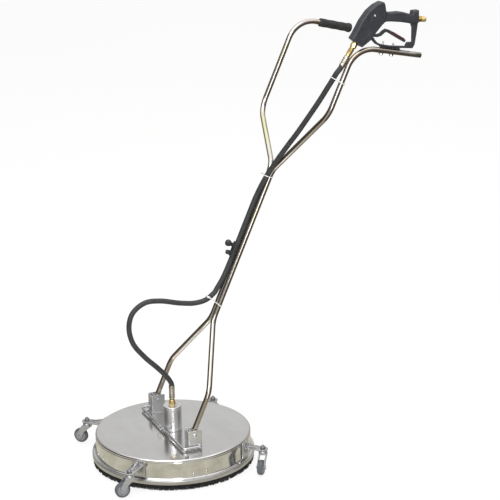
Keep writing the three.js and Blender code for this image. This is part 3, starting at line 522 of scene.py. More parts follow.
class Material(Nodes):
    def __init__(self, name):
        self.material = MATERIALS[name] = bpy.data.materials.new(name)
        self.material.use_nodes = True
        super().__init__(self.material.node_tree)
        self.shader = next(n for n in self.tree.nodes if n.type == "BSDF_PRINCIPLED")
        self.coords = self.node("TexCoord").outputs["Object"]
        self.normal = None

    def put(self, name, value):
        self.feed(self.shader.inputs[name], value)

    def feeding(self, name):
        """The output that feeds a shader input now."""
        return self.shader.inputs[name].links[0].from_socket

    def stretched(self, scale):
        return self.node("Mapping", {"Scale": scale, "Vector": self.coords}).outputs["Vector"]

    def noise(self, scale, detail=4.0, rough=0.55, stretch=None, distortion=0.0, source=None):
        vector = self.stretched(stretch) if stretch else source or self.coords
        inputs = {"Vector": vector, "Scale": scale, "Detail": detail, "Roughness": rough}
        return self.node("TexNoise", {**inputs, "Distortion": distortion}).outputs["Fac"]

    def voronoi(self, scale, feature, source=None):
        inputs = {"Vector": source or self.coords, "Scale": scale}
        return self.node("TexVoronoi", inputs, feature=feature).outputs["Distance"]

    def wave(self, scale, axis, distortion=0.0, source=None):
        inputs = {"Vector": source or self.coords, "Scale": scale, "Distortion": distortion,
                  "Detail": 1.0}
        return self.node("TexWave", inputs, bands_direction=axis).outputs["Fac"]

    def bump(self, height, distance, strength=1.0):
        """Adds a bump, distance in metres, over the bumps already there."""
        inputs = {"Strength": strength, "Distance": distance, "Height": height}
        if self.normal is not None:
            inputs["Normal"] = self.normal
        self.normal = self.node("Bump", inputs).outputs["Normal"]
        self.put("Normal", self.normal)

    def edges(self, span, amount):
        """How far a point lies on a sharp edge, times an amount."""
        pointiness = self.node("NewGeometry").outputs["Pointiness"]
        return self.times(self.remap(pointiness, span=span), amount)


# ----------------------------------------------------------------- materials
def scaled(color, factor, lift=0.0):
    return tuple(min(1, c * factor + lift) for c in color)


def metal(name, base, dark, rough, grain=(300, 300, 300), grain_depth=0.00002, smudge=90,
          tints=(), scratched=True, wave_depth=0.0):
    """A smudged metal. grain is the noise scale per axis, rough the roughness range, smudge the
    scale of the dark patches; tints are (noise scale, span, colour, amount)."""
    net = Material(name)
    patches = net.noise(smudge, detail=5, rough=0.6)
    fine = net.noise(70, detail=6, rough=0.65)
    streak = net.noise(1.0, detail=5, rough=0.7, stretch=grain)
    color = net.mix(net.remap(patches, span=(0.35, 0.7)), base, dark)
    for scale, span, tint, amount in tints:
        spots = net.noise(scale, detail=2, rough=0.5, distortion=0.6)
        color = net.mix(net.remap(spots, span=span, to=(0, amount)), color, tint)
    color = net.mix(net.remap(streak, span=(0.4, 0.75), to=(0.0, 0.16)), color, scaled(base, 0.72))
    color = net.mix(net.edges(span=(0.52, 0.62), amount=0.35), color, scaled(base, 1.18))
    net.put("Base Color", color)
    net.put("Metallic", 1.0)
    streak_rough = net.remap(streak, span=(0.35, 0.8), to=(0.0, (rough[1] - rough[0]) * 0.6))
    total = net.calc("ADD", net.remap(patches, span=(0.3, 0.72), to=rough), streak_rough)
    total = net.calc("ADD", total, net.remap(fine, span=(0.3, 0.7), to=(-0.015, 0.03)))
    if scratched:
        cells = net.voronoi(1.0, "DISTANCE_TO_EDGE", source=net.stretched((14, 190, 120)))
        scratches = net.ramp(cells, [(0.0, 1.0), (0.012, 0.0)])
        total = net.calc("ADD", total, net.times(scratches, 0.10))
        net.bump(scratches, distance=0.00001, strength=0.4)
    net.put("Roughness", total)
    net.bump(streak, distance=grain_depth, strength=0.6)
    if wave_depth:
        net.bump(net.noise(5.5, detail=2, rough=0.4), distance=wave_depth)
    return net


def polymer(name, base, light, rough, grain=1500, grain_depth=0.00006, edge=0.5, dust=0.0):
    """A mottled plastic or rubber. rough is the roughness range, grain the noise scale of the
    fine bump, edge and dust the amounts of pale edges and dust."""
    net = Material(name)
    mottle = net.noise(25, detail=5, rough=0.6)
    fine = net.noise(grain, detail=3, rough=0.6)
    color = net.mix(net.remap(mottle, span=(0.3, 0.72)), base, light)
    pale = scaled(base, 2.2, lift=0.02)
    color = net.mix(net.edges(span=(0.51, 0.6), amount=edge), color, pale)
    if dust:
        specks = net.ramp(net.noise(90, detail=8, rough=0.75), [(0.52, 0.0), (0.75, 1.0)])
        color = net.mix(net.times(specks, dust), color, (0.35, 0.34, 0.32))
    net.put("Base Color", color)
    net.put("Roughness", net.calc("ADD", net.remap(mottle, span=(0.3, 0.7), to=rough),
                                  net.remap(fine, span=(0.3, 0.7), to=(-0.05, 0.07))))
    net.bump(fine, distance=grain_depth, strength=0.7)
    return net


def polished_steel():
    """Polished sheet with slow waves; where a face looks up it is rougher, and its colour is painted
    greyer and darker in streaks there, a painted shade on the top faces.
    """
    net = metal("polished_steel", base=(0.80, 0.795, 0.78), dark=(0.73, 0.72, 0.705),
                rough=(0.05, 0.12), grain=(5, 170, 170), grain_depth=0.000001, smudge=6,
                scratched=False, wave_depth=0.00022)
    facing = net.split(net.node("NewGeometry").outputs["True Normal"])["Z"]
    up = net.remap(facing, span=(0.8, 0.97))
    strokes = net.noise(1.0, detail=4, rough=0.6, stretch=(3.5, 26, 26))
    more = net.times(up, net.remap(strokes, span=(0.3, 0.7), to=(0.03575, 0.0715)))
    net.put("Roughness", net.calc("ADD", net.feeding("Roughness"), more))
    # painted shade: faces that look up get a greyer, darker colour in streaks
    pale = net.times(up, net.remap(strokes, span=(0.35, 0.7), to=(0.10, 0.34)))
    net.put("Base Color", net.mix(pale, net.feeding("Base Color"), (0.56, 0.56, 0.565)))


def bracket_steel():
    """Pale steel, greyer at low X in the row frame: painted shade that darkens the far, right
    bracket and its hinge bolt.
    """
    net = metal("bracket_steel", base=(0.86, 0.86, 0.87), dark=(0.80, 0.80, 0.81),
                rough=(0.36, 0.46), grain=(700, 700, 40), grain_depth=0.000002, smudge=20,
                scratched=False)
    # painted shade: the base colour turns greyer at low X, on the far bracket and its bolt
    grey = net.remap(net.split(net.coords)["X"], span=(-0.10, -0.05), to=(0.8, 0.0))
    net.put("Base Color", net.mix(grey, net.feeding("Base Color"), (0.56, 0.56, 0.57)))


def tube_steel():
    """Bright tube with warm stains and olive in one band at low X; darker and browner low down,
    partly in patches, which is a painted dark reflection.
    """
    net = metal("tube_steel", base=(0.72, 0.70, 0.665), dark=(0.60, 0.56, 0.50),
                rough=(0.06, 0.13), grain=(300, 300, 12), grain_depth=0.0000012, smudge=7,
                scratched=False,
                tints=[(3.1, (0.52, 0.68), (0.50, 0.37, 0.24), 0.75),
                       (4.3, (0.55, 0.70), (0.58, 0.55, 0.32), 0.6),
                       (6.0, (0.56, 0.7), (0.50, 0.42, 0.44), 0.5)])
    place = net.split(net.coords)
    x, z = place["X"], place["Z"]
    # painted dark reflection: the colour is darkened and browned towards the bottom of the tubes,
    # partly in patches
    patches = net.remap(net.noise(9, detail=3, rough=0.6), span=(0.35, 0.65), to=(0.35, 1.0))
    low = net.times(net.remap(z, span=(0.15, 0.62), to=(0.85, 0.0)), patches)
    painted_low_shade = net.remap(z, span=(0.50, 0.80), to=(0.62, 0.0))
    color = net.mix(painted_low_shade, net.feeding("Base Color"), (0.47, 0.455, 0.40))
    color = net.mix(low, color, (0.47, 0.39, 0.32))
    band = net.times(net.remap(z, span=(0.95, 1.0)), net.remap(z, span=(1.08, 1.13), to=(1, 0)))
    olive = net.times(net.remap(x, span=(-0.11, -0.05), to=(0.8, 0.0)), band)
    net.put("Base Color", net.mix(olive, color, (0.62, 0.60, 0.36)))


def hose_cover():
    """Cloth-wrap imprint in the rubber, with pale scuffs."""
    net = Material("hose_cover")
    run = net.node("UVMap", uv_map="run").outputs["UV"]
    threads = []
    for degrees in (38, -52):
        turned_run = net.node("Mapping", {"Rotation": (0, 0, rad(degrees)), "Vector": run})
        source = turned_run.outputs["Vector"]
        threads.append(net.wave(190, "X", distortion=0.6, source=source))
    weave = net.times(*threads)
    mottle = net.noise(28, detail=6, rough=0.65)
    color = net.mix(net.remap(mottle, span=(0.3, 0.7)), (0.028, 0.030, 0.031), (0.050, 0.052, 0.052))
    color = net.mix(net.times(weave, 0.35), color, (0.062, 0.064, 0.064))
    scuffs = net.noise(55, detail=9, rough=0.75, distortion=0.4)
    scuffs = net.ramp(scuffs, [(0.57, 0.0), (0.75, 1.0)])
    net.put("Base Color", net.mix(net.times(scuffs, 0.35), color, (0.20, 0.195, 0.185)))
    net.put("Roughness", net.remap(mottle, span=(0.3, 0.7), to=(0.46, 0.66)))
    net.bump(weave, distance=0.00030, strength=0.8)
    net.bump(net.noise(1200, detail=3, rough=0.6), distance=0.00008, strength=0.5)


def bristle():
    """Every strand its own shade."""
    net = Material("bristle")
    strand = net.node("NewGeometry").outputs["Random Per Island"]
    color = net.mix(strand, (0.006, 0.006, 0.008), (0.030, 0.030, 0.034))
    dusty = net.remap(net.noise(60), span=(0.45, 0.8), to=(0, 0.35))
    net.put("Base Color", net.mix(dusty, color, (0.10, 0.095, 0.085)))
    net.put("Roughness", net.remap(net.noise(400, detail=3), to=(0.42, 0.62)))
    streaks = net.noise(1.0, detail=3, rough=0.6, stretch=(900, 900, 60))
    net.bump(streaks, distance=0.0001, strength=0.5)


polished_steel()
metal("bail_steel", base=(0.72, 0.72, 0.725), dark=(0.62, 0.62, 0.625), rough=(0.20, 0.30),
      grain_depth=0.000004, smudge=25, scratched=False)
bracket_steel()
metal("satin_steel", base=(0.62, 0.62, 0.625), dark=(0.52, 0.52, 0.53), rough=(0.24, 0.34),
      grain=(700, 700, 40), grain_depth=0.00001, smudge=20)
tube_steel()
metal("aluminium", base=(0.86, 0.86, 0.87), dark=(0.83, 0.83, 0.84), rough=(0.30, 0.33),
      grain=(2, 2, 1500), grain_depth=0.0000002, smudge=30, scratched=False)
zinc = metal("zinc", base=(0.66, 0.68, 0.76), dark=(0.54, 0.56, 0.63), rough=(0.28, 0.42),
             grain=(200, 200, 200), smudge=60, tints=[(45, (0.5, 0.7), (0.60, 0.60, 0.58), 0.4)])
zinc.bump(zinc.noise(900, detail=4, rough=0.6), distance=0.00003, strength=0.5)
metal("brass", base=(0.78, 0.61, 0.29), dark=(0.60, 0.44, 0.19), rough=(0.15, 0.28),
      grain=(60, 60, 900), smudge=70)
metal("ferrule", base=(0.64, 0.60, 0.53), dark=(0.50, 0.45, 0.38), rough=(0.22, 0.34),
      grain=(60, 60, 900), smudge=60)
metal("steel", base=(0.58, 0.58, 0.59), dark=(0.46, 0.46, 0.47), rough=(0.22, 0.36), smudge=60)
metal("nut_steel", base=(0.74, 0.74, 0.75), dark=(0.6, 0.6, 0.62), rough=(0.14, 0.26))
metal("weld", base=(0.60, 0.59, 0.58), dark=(0.46, 0.43, 0.41), rough=(0.24, 0.42),
      grain_depth=0.00004, smudge=120, tints=[(80, (0.45, 0.65), (0.20, 0.22, 0.36), 0.6)])
metal("bolt_zinc", base=(0.56, 0.57, 0.60), dark=(0.46, 0.47, 0.50), rough=(0.34, 0.46),
      grain_depth=0.00001)
metal("dark_nut", base=(0.40, 0.40, 0.41), dark=(0.28, 0.28, 0.29), rough=(0.28, 0.40))
metal("dark_screw", base=(0.16, 0.16, 0.165), dark=(0.09, 0.09, 0.095), rough=(0.30, 0.42))
polymer("slate_plastic", base=(0.034, 0.036, 0.044), light=(0.046, 0.048, 0.058),
        rough=(0.38, 0.50), grain_depth=0.00008, edge=0.6)
polymer("dark_red_plastic", base=(0.085, 0.020, 0.022), light=(0.12, 0.030, 0.030),
        rough=(0.34, 0.48))
grip = polymer("grip_rubber", base=(0.017, 0.019, 0.018), light=(0.030, 0.033, 0.031),
               rough=(0.58, 0.76), grain=900, grain_depth=0.00018, dust=0.10)
grip.bump(grip.voronoi(420, "SMOOTH_F1"), distance=0.00018, strength=0.6)
polymer("black_rubber", base=(0.028, 0.029, 0.030), light=(0.045, 0.046, 0.047),
        rough=(0.55, 0.72), grain=900, grain_depth=0.00012, dust=0.12)
polymer("black_plastic", base=(0.020, 0.021, 0.023), light=(0.034, 0.035, 0.038),
        rough=(0.34, 0.5))
nylon = polymer("nylon_white", base=(0.74, 0.74, 0.72), light=(0.82, 0.82, 0.80),
                rough=(0.28, 0.40), grain=700, grain_depth=0.00004, edge=0.1)
nylon.bump(nylon.wave(260, "Z"), distance=0.0001, strength=0.4)
polymer("grey_tyre", base=(0.080, 0.090, 0.100), light=(0.12, 0.13, 0.14),
        rough=(0.52, 0.70), grain=700, grain_depth=0.0001, dust=0.30)
polymer("hub_plastic", base=(0.22, 0.23, 0.25), light=(0.30, 0.31, 0.33),
        rough=(0.36, 0.5), grain=900, edge=0.3)
hose_cover()
bristle()

# ------------------------------------------------------------------------- pan
PAN_EDGE_R, SHEET = 6.0, 2


def pan_profile():
    """(radius, height) of the sheet: over the top, down the skirt, back up the inside."""
    centre = (DECK_R - PAN_EDGE_R, DECK_TOP - PAN_EDGE_R)
    return [
        (16, DECK_TOP), (40, DECK_TOP), (120, DECK_TOP), (200, DECK_TOP), (240, DECK_TOP),
        *arc(*centre, PAN_EDGE_R, 90, 0, 10),
        # rolled seam just under the edge
        (260, 94.6), (259.3, 94.0), (258.9, 93.0), (259.2, 92.1), (259.7, 91.5), (259.8, 90.6),
        (259.8, 60), (259.8, 41.5), (260.1, 39.6), (261.0, 38.1), (262.6, 37.2), (264.5, 37),
        (269.6, 37), (270.5, 36.8), (271, 36.2), (271, 35.7), (270.6, 35.2), (269.8, 35),
        (260, 35), (258, 35.0), (258, 96),
        *arc(*centre, PAN_EDGE_R - SHEET, 0, 90, 6),
        (200, 100), (120, 100), (16, 100)]


emit("pan", lathe(pan_profile(), 320), "polished_steel", "deck", "deck_pan",
     angle=50)

emit("brush_channel", lathe(
    [(250, 34.7), (272.5, 34.7), (272.5, 21), (270.5, 21),
     (270.5, 31.7), (252, 31.7), (252, 21), (250, 21)],
    288, edge=[0.6, 3.0, 0.9, 0.9, 1.2, 1.2, 0.9, 0.9], steps=5),
    "satin_steel", "deck", "brush_carrier_ring")

# ----------------------------------------------------------------------- brush
BRUSH_R, BLOCKS = 262.0, 41
BLOCK_PITCH = TAU * BRUSH_R / BLOCKS
STRAND_SIDES, STRAND_TOP = 5, 31.2
rng = np.random.default_rng(11)


def strand_list():
    """Tuples of block, place across it, sideways splay, bottom height and outward flare."""
    strands = []
    half = BLOCK_PITCH / 2
    for k in range(BLOCKS):
        lean, low = rng.normal(0, 0.8), 0.1 + 1.3 * (0.5 + 0.5 * math.sin(k * 2.3))
        for _ in range(118):
            x = rng.uniform(-half + 3.4, half - 3.4)
            strands.append((k, x, lean + 0.05 * x + rng.normal(0, 0.35),
                            low + rng.uniform(0, 1.3), rng.uniform(1.5, 4.2)))
        # the gaps are filled at -23 and 157 degrees round the axis and open between them
        gap = math.sin(TAU * (k + 0.5) / BLOCKS + rad(23)) ** 2
        for _ in range(52):
            x = rng.uniform(half - 4.6, half + 4.6)
            strands.append((k, x, rng.normal(0, 0.3), 0.6 + 5.6 * gap + rng.uniform(0, 1.6),
                            rng.uniform(0.5, 3.0) - 9.5 * gap))
    return strands


def brush_tufts():
    """Every strand is a thin five-sided rod with one bend at mid-height."""
    verts, faces = [], []
    for block, across, splay, bottom, flare in strand_list():
        base = len(verts)
        top_angle = TAU * block / BLOCKS + across / BRUSH_R
        low_angle = top_angle + splay / BRUSH_R
        top_r = rng.uniform(257.2, 266.6)
        low_r = min(271.6, max(256.3, top_r + flare))
        stations = ((top_angle, top_r, STRAND_TOP, 0.72),
                    ((top_angle + low_angle) / 2, (top_r + low_r) / 2,
                     (STRAND_TOP + bottom) / 2, 0.64),
                    (low_angle, low_r, bottom, 0.56))
        for angle, radius, z, width in stations:
            centre = vec(radius * math.cos(angle), radius * math.sin(angle), z)
            outward = vec(math.cos(angle), math.sin(angle), 0)
            sideways = vec(-math.sin(angle), math.cos(angle), 0)
            for i in range(STRAND_SIDES):
                t = TAU * i / STRAND_SIDES
                verts.append(centre + width * (math.cos(t) * outward + math.sin(t) * sideways))
        for low in (base, base + STRAND_SIDES):
            high = low + STRAND_SIDES
            for i in range(STRAND_SIDES):
                k = (i + 1) % STRAND_SIDES
                faces.append((low + i, low + k, high + k, high + i))
        faces.append(tuple(base + 10 + i for i in range(STRAND_SIDES)))
        faces.append(tuple(base + 4 - i for i in range(STRAND_SIDES)))
    return {"v": np.array(verts), "f": faces, "uv": None}


emit("brush_tufts", brush_tufts(), "bristle", "deck", "brush_bristles", angle=50)
# the backing the tufts are set in
emit("brush_backing", lathe(
    [(258, 5), (258, 24), (256.3, 24), (256.3, 31.3), (267.7, 31.3), (267.7, 24), (262.5, 24),
     (262.5, 5)], 288, edge=0.8, steps=3), "black_plastic", "deck")

# dome-headed screws through the skirt, in pairs
SKIRT_SCREW_DOME = [(0, 0), (3.9, 0.3), (3.9, 0.9), (3.4, 1.9), (2.4, 2.6), (1.2, 2.95), (0, 3.05)]
parts = []
for pair_angle in (-1.5, 90, 180, 270):
    for offset, height in ((-5.0, 49), (5.0, 51)):
        a = rad(pair_angle + offset)
        origin = (259.6 * math.cos(a), 259.6 * math.sin(a), height)
        axis = (math.cos(a), math.sin(a), 0)
        parts += [disc(4.9, -0.3, 0.5, 32, origin, axis, edge=0.25),
                  lathe(SKIRT_SCREW_DOME, 32, origin, axis, edge=0.3)]
emit("skirt_screws", parts, "nut_steel", "deck")

# ---------------------------------------------------------------------- swivel
SWIVEL_R = 31
emit("swivel_body", lathe(
    [(SWIVEL_R, 102.5), (SWIVEL_R, 110.0), (30.4, 110.6), (30.4, 111.6), (SWIVEL_R, 112.2),
     (SWIVEL_R, 181.7), (20.3, 181.7), (20.3, 148), (13.2, 148), (13.2, 120), (20.3, 120),
     (20.3, 102.5)],
    160, edge=[1.2, 0.2, 0.2, 0.2, 0.2, 0.8, 0.3, 0.3, 0.3, 0.3, 0.3, 0.3], steps=5),
    "aluminium", "deck", "swivel_housing")
emit("swivel_cover", lathe(
    [(7.3, 182.0), (SWIVEL_R, 182.0), (SWIVEL_R, 189), (13.5, 189), (12.6, 188.4), (11.8, 189),
     (7.3, 189)], 160, edge=[0.2, 0.5, 2.2, 0.2, 0.3, 0.2, 0.3], steps=7),
    "aluminium", "deck", "swivel_cap")
emit("swivel_elbow_nut", [
    disc(7, 182.6, 190, edge=0.3),
    hexnut(11.5, 11.7, (0, 0, 189.3)),
    lathe([(0, 200.5), (10, 200.5), (10, 206), (8, 208), (8, 212), (0, 212)], 64, edge=0.6, steps=3),
], "brass", "deck", "swivel_inlet_fitting")

FERRULE_R = 10.0


def ferrule(origin, axis, length):
    """Crimped hose ferrule with its press rings."""
    outer, groove = FERRULE_R, FERRULE_R - 0.55
    profile = [(0, 0), (outer - 1.2, 0), (outer, 1.6), (outer, 7)]
    for z in (12.0, 18.5, 25.0, 31.5):
        if z + 4 < length - 4:
            profile += [(outer, z - 2.2), (groove, z - 1.2), (groove, z + 1.2), (outer, z + 2.2)]
    profile += [(outer, length - 2), (outer - 0.5, length), (8.75, length), (8.75, length - 3),
                (0, length - 3)]
    return lathe(profile, 72, origin, axis, edge=0.35, steps=2)


emit("ferrule_lower", ferrule((0, 0, 212.3), UP, 47), "ferrule", "deck",
     "hose_ferrule_lower")

# -------------------------------------------------------------------- brackets
# U-shaped brackets, open to the rear
BRACKET_HALF, BRACKET_FRONT, BRACKET_REAR, BRACKET_WALL = 18, -18.0, 30.0, 3.0
BRACKET_FOOT, WELD_Z = 102.3, 102.9
BOLT_REACH = 18.3
HINGE_BOLT_DOME = [(0, BOLT_REACH), (6.8, BOLT_REACH), (6.8, BOLT_REACH + 0.9),
                   (6.2, BOLT_REACH + 2.4), (4.6, BOLT_REACH + 3.7), (2.4, BOLT_REACH + 4.3),
                   (0, BOLT_REACH + 4.4)]


def bracket(side, sign):
    x0, x1 = sign * PIVOT_X - BRACKET_HALF, sign * PIVOT_X + BRACKET_HALF
    y0, y1, wall = BRACKET_FRONT, BRACKET_REAR, BRACKET_WALL
    walls = fillet([(x0, y0), (x1, y0), (x1, y1), (x1 - wall, y1), (x1 - wall, y0 + wall),
                    (x0 + wall, y0 + wall), (x0 + wall, y1), (x0, y1)],
                   [4.5, 4.5, 0.8, 0.8, 1.8, 1.8, 0.8, 0.8], 6)
    foot = [(x0 + 0.4, y0 + 0.4), (x1 - 0.4, y0 + 0.4), (x1 - 0.4, y1 - 0.4), (x0 + 0.4, y1 - 0.4)]
    emit(f"bracket_{side}", [
        prism(walls, BRACKET_FOOT, 165, bevel=0.7, segments=3),
        prism(foot, BRACKET_FOOT, 105.2, bevel=0.6, corner=4.0),
    ], "bracket_steel", "deck", f"pivot_bracket_{side}")
    emit(f"bracket_weld_{side}", [
        bead([(x0 - 0.3, y1 - 3, WELD_Z), (x0 - 0.3, y0 + 5, WELD_Z)], 1.7),
        bead([(x1 + 0.3, y1 - 3, WELD_Z), (x1 + 0.3, y0 + 5, WELD_Z)], 1.7),
        bead([(x0 + 5, y0 - 0.3, WELD_Z), (x1 - 5, y0 - 0.3, WELD_Z)], 1.7),
    ], "weld", "deck")
    origin, axis = (sign * PIVOT_X, PIVOT_Y, PIVOT_Z), (sign, 0, 0)
    emit(f"hinge_bolt_{side}", [
        disc(4, -BOLT_REACH - 1, BOLT_REACH + 1, 40, origin, axis),
        lathe(HINGE_BOLT_DOME, 56, origin, axis, edge=0.3),
        disc(6.9, -BOLT_REACH - 1.0, -BOLT_REACH, 48, origin, axis, edge=0.25),
        hexnut(6.2, 4.9, vec(*origin) + vec(*axis) * (-BOLT_REACH - 5.9), axis),
    ], "bracket_steel", "deck", f"pivot_bolt_{side}")


bracket("left", 1)
bracket("right", -1)

# ----------------------------------------------------------------------- rotor
ARM_Z, NOZZLE_X, NOZZLE_TILT = 50, 226, 14
emit("shaft", lathe([(4.5, 57.3), (12, 57.3), (12, 174), (10.5, 176), (4.5, 176)], 72,
                    edge=0.5, steps=2), "steel", "rotor", "rotor_shaft")
emit("hub", [
    lathe([(0, 43), (22, 43), (24, 45), (24, 69), (22, 71), (12.3, 71), (12.3, 57), (0, 57)], 72,
          edge=0.6, steps=3),
    hexnut(9.5, 3.2, (0, 0, 40.6)),
], "brass", "rotor", "rotor_hub")


def spray_arm(tag, sign):
    emit(f"arm_{tag}", [
        rod((sign * 12, 0, ARM_Z), (sign * 217.6, 0, ARM_Z), 6, 40),
        hexnut(9.0, 7.0, (sign * 24.4, 0, ARM_Z), (sign, 0, 0)),
    ], "satin_steel", "rotor", f"spray_arm_{tag}")
    tilt = rad(sign * NOZZLE_TILT)
    down = vec(0, math.sin(tilt), -math.cos(tilt))

    def jet_at(distance):
        return vec(sign * NOZZLE_X, 0, ARM_Z) + down * distance

    tip = [(0, 0), (4.6, 0), (2.8, 5.0), (1.0, 5.0), (0, 4.0)]
    emit(f"jet_{tag}", [
        rod(jet_at(-9), jet_at(9), 8, 40, edge=0.8),
        hexnut(7.5, 6.4, jet_at(9.4), down),
        lathe(tip, 40, jet_at(15.9), down, edge=0.2, steps=2),
    ], "brass", "rotor", f"nozzle_{tag}")


spray_arm("a", 1)
spray_arm("b", -1)

# ------------------------------------------------------------------- stop bail
# a bent rod hinged at its two ends, with a wire keeper over its front run
BAIL_X, BAIL_Y, BAIL_Z, BAIL_FRONT_Y = 196.5, 23.0, 111.5, -38.5
BAIL_ROD_R = 4.5
front = BAIL_FRONT_Y - BAIL_Y


def bail_path(corners, radii, bend_steps):
    return [p + vec(0, BAIL_Y, BAIL_Z) for p in bent(corners, radii, bend_steps)]


rod_path = bail_path([(183.5, 0, 0), (BAIL_X, 0, 0), (BAIL_X, front, 0), (-BAIL_X, front, 0),
                      (-BAIL_X, 0, 0), (-183.5, 0, 0)], [6, 11, 11, 6], 12)
emit("bail_rod", sweep(rod_path, BAIL_ROD_R, 36, cap=1.0), "bail_steel", "stop_bail",
     "lock_bail")
reach = BAIL_ROD_R + 1.8 + 0.3
keeper_path = bail_path([
    (16, front - 16, 12), (16, front - reach - 3, -0.5), (16, front - reach, 5.5),
    (16, front, reach + 0.6), (4, front + 0.6, reach + 0.6), (-8, front, reach + 0.6),
    (-8, front - reach, 5.5), (-8, front - reach - 3, -0.5), (-8, front - 14, 14)],
    [2.5, 2, 2, 2.5, 2.5, 2, 2.5], 8)
emit("bail_keeper", sweep(keeper_path, 1.5, 20, cap=0.5), "bail_steel", "stop_bail",
     "bail_clip")

# ---------------------------------------------------------------------- handle
PAIR_X = 9.15           # half the spacing of the tubes where they run side by side
SPREAD = 352            # where along the handle they meet
LEFT_DROOP, RIGHT_DROOP = 11.8, 14.4
# side, sign, where the pair parts, where the tubes run straight again, their X there,
# length up to the grip bend, droop of the grip in degrees, length of the grip
TUBES = [("left", 1, 886, 1130, 226, 1359.5, LEFT_DROOP, 236),
         ("right", -1, 902, 1051, 230, 1377.7, RIGHT_DROOP, 204)]


def handle_at(x, behind, along):
    """Handle frame to working frame: across, behind the tubes, along the lean."""
    return vec(x, PIVOT_Y + behind * LEAN_COS + along * LEAN_SIN,
               PIVOT_Z - behind * LEAN_SIN + along * LEAN_COS)


BEHIND = unit(handle_at(0, 1, 0) - handle_at(0, 0, 0))
ALONG = unit(handle_at(0, 0, 1) - handle_at(0, 0, 0))
grips = {}
for side, sign, part_at, out_at, far_x, top_at, droop, grip_length in TUBES:
    grip_dir = vec(0, math.cos(rad(droop)), -math.sin(rad(droop)))
    top = handle_at(sign * far_x, 0, top_at)
    tip = top + grip_dir * grip_length
    corners = [handle_at(sign * x, 0, along) for x, along in (
        (PIVOT_X, 13.3), (PIVOT_X, 146), (PAIR_X, SPREAD), (PAIR_X, part_at), (far_x, out_at))]
    path = bent(corners + [top, tip], [70, 70, 60, 80, 86], 20)
    grips[side] = (top, grip_dir, tip)
    emit(f"tube_{side}", sweep(path, TUBE_R, 48, cap=0.5, bore=7.5), "tube_steel", "handle",
         f"handle_tube_{side}")
    emit(f"hinge_eye_{side}", lathe([(4.4, -14), (13, -14), (13, 14), (4.4, 14)], 64,
                                    (sign * PIVOT_X, PIVOT_Y, PIVOT_Z), (1, 0, 0), edge=0.9,
                                    steps=3), "steel", "handle", f"handle_eye_{side}")
    circle = ring(8.9, 0, np.linspace(0, TAU, 41)) @ turned(ALONG).T
    emit(f"eye_weld_{side}", bead(circle + handle_at(sign * PIVOT_X, 0, 13.6), 1.6, pitch=2.4),
         "weld", "handle")

# short welds that join the two tubes where they run side by side
emit("tube_welds", [
    bead([handle_at(0, behind, along), handle_at(0, behind, along + 22)], 2.3, pitch=2.8)
    for along in (392, 560, 700, 838) for behind in (-4.6, 4.6)], "weld", "handle")

left_top, left_dir, left_tip = grips["left"]
emit("tube_plug", lathe([(0, -6), (7.3, -6), (7.3, -0.7), (0, -0.4)], 48, left_tip, left_dir,
                        edge=0.5), "steel", "handle")

# moulded hand grip on the right tube, with its flange, finger swells and end bead
GRIP_LENGTH, GRIP_START, GRIP_RINGS, FINGER_PITCH = 117.0, -13.2, 41, 36.0


def grip_profile():
    """(radius, distance from the tube's end), negative back along the tube."""
    profile = [(0, 3.2), (10, 3.2), (13.2, 2.6), (15.2, 0.6), (15.8, -1.8), (15.8, -8.6),
               (14.9, -11.6), (14.0, GRIP_START)]
    for i in range(2, GRIP_RINGS):
        z = GRIP_START - (GRIP_LENGTH - 20) * i / GRIP_RINGS
        swell = 14.15 + 0.42 * math.cos(TAU * (z + 30) / FINGER_PITCH)
        profile += [(swell, z + 0.75), (swell - 0.45, z), (swell - 0.45, z - 0.4), (swell, z - 1.1)]
    end = -GRIP_LENGTH
    return profile + [(14.5, end + 5.5), (14.6, end + 3), (13.6, end + 0.4), (12.2, end),
                      (9.3, end), (9.3, 0), (0, 0)]


def grip_ribs(z, angles):
    return 0.12 * np.cos(angles * 24) if -GRIP_LENGTH + 8 < z < -14 else 0


_, right_dir, right_tip = grips["right"]
emit("hand_grip", lathe(grip_profile(), 144, right_tip + right_dir * 0.3, right_dir,
                        warp=grip_ribs), "grip_rubber", "handle", "handle_grip",
     angle=60)

# ------------------------------------------------------------------------- gun
GUN = vec(226.0, 626.6, 1418.7)
OUTLET_DIR, INLET_DIR = unit((0, -0.56, -0.8285)), unit((0, 0.9885, -0.151))


def gun_at(x, y, z):
    return GUN + vec(x, y, z)


def outlet(distance):
    return gun_at(0, -59.5, -18) + OUTLET_DIR * distance


def inlet(distance):
    return gun_at(0, 162, 39) + INLET_DIR * distance


# (y, z) outlines on the gun's outer faces
PANEL = [(-60, 2), (-44, -9), (-24, 2), (-15, 16), (-20, 27), (-36, 28), (-53, 16)]
RIB = [(-19, 46), (-13, 43.5), (0.5, 70), (-4, 75)]
CASE_SCREWS = [(-62, 4), (-34, -17), (-16, 66), (22, 92), (90, 50), (150, 54)]

for side, sign in (("left", 1), ("right", -1)):
    # shallow panel and grip grooves let into the outer face
    cutters = [prism(PANEL, *sorted((0, sign * 6)), YZ, gun_at(sign * 16.2, 0, 0), bevel=0.6,
                     corner=8)]
    for y in range(60, 115, 9):
        groove = [(y, 45.5), (y + 3.2, 45.0), (y + 3.8, 58.5), (y + 0.6, 59.0)]
        cutters.append(prism(groove, *sorted((0, sign * 5)), YZ, gun_at(sign * 12.9, 0, 0),
                             bevel=0.3, segments=1, corner=1.4))
    mesh = skin(f"gun_half_{side}", [NODES[f"gun_shell_{side}"].data], (0.62, 1.1), 5, cutters)
    add_piece(f"gun_half_{side}", mesh, "slate_plastic", "handle",
              f"gun_shell_{side}")
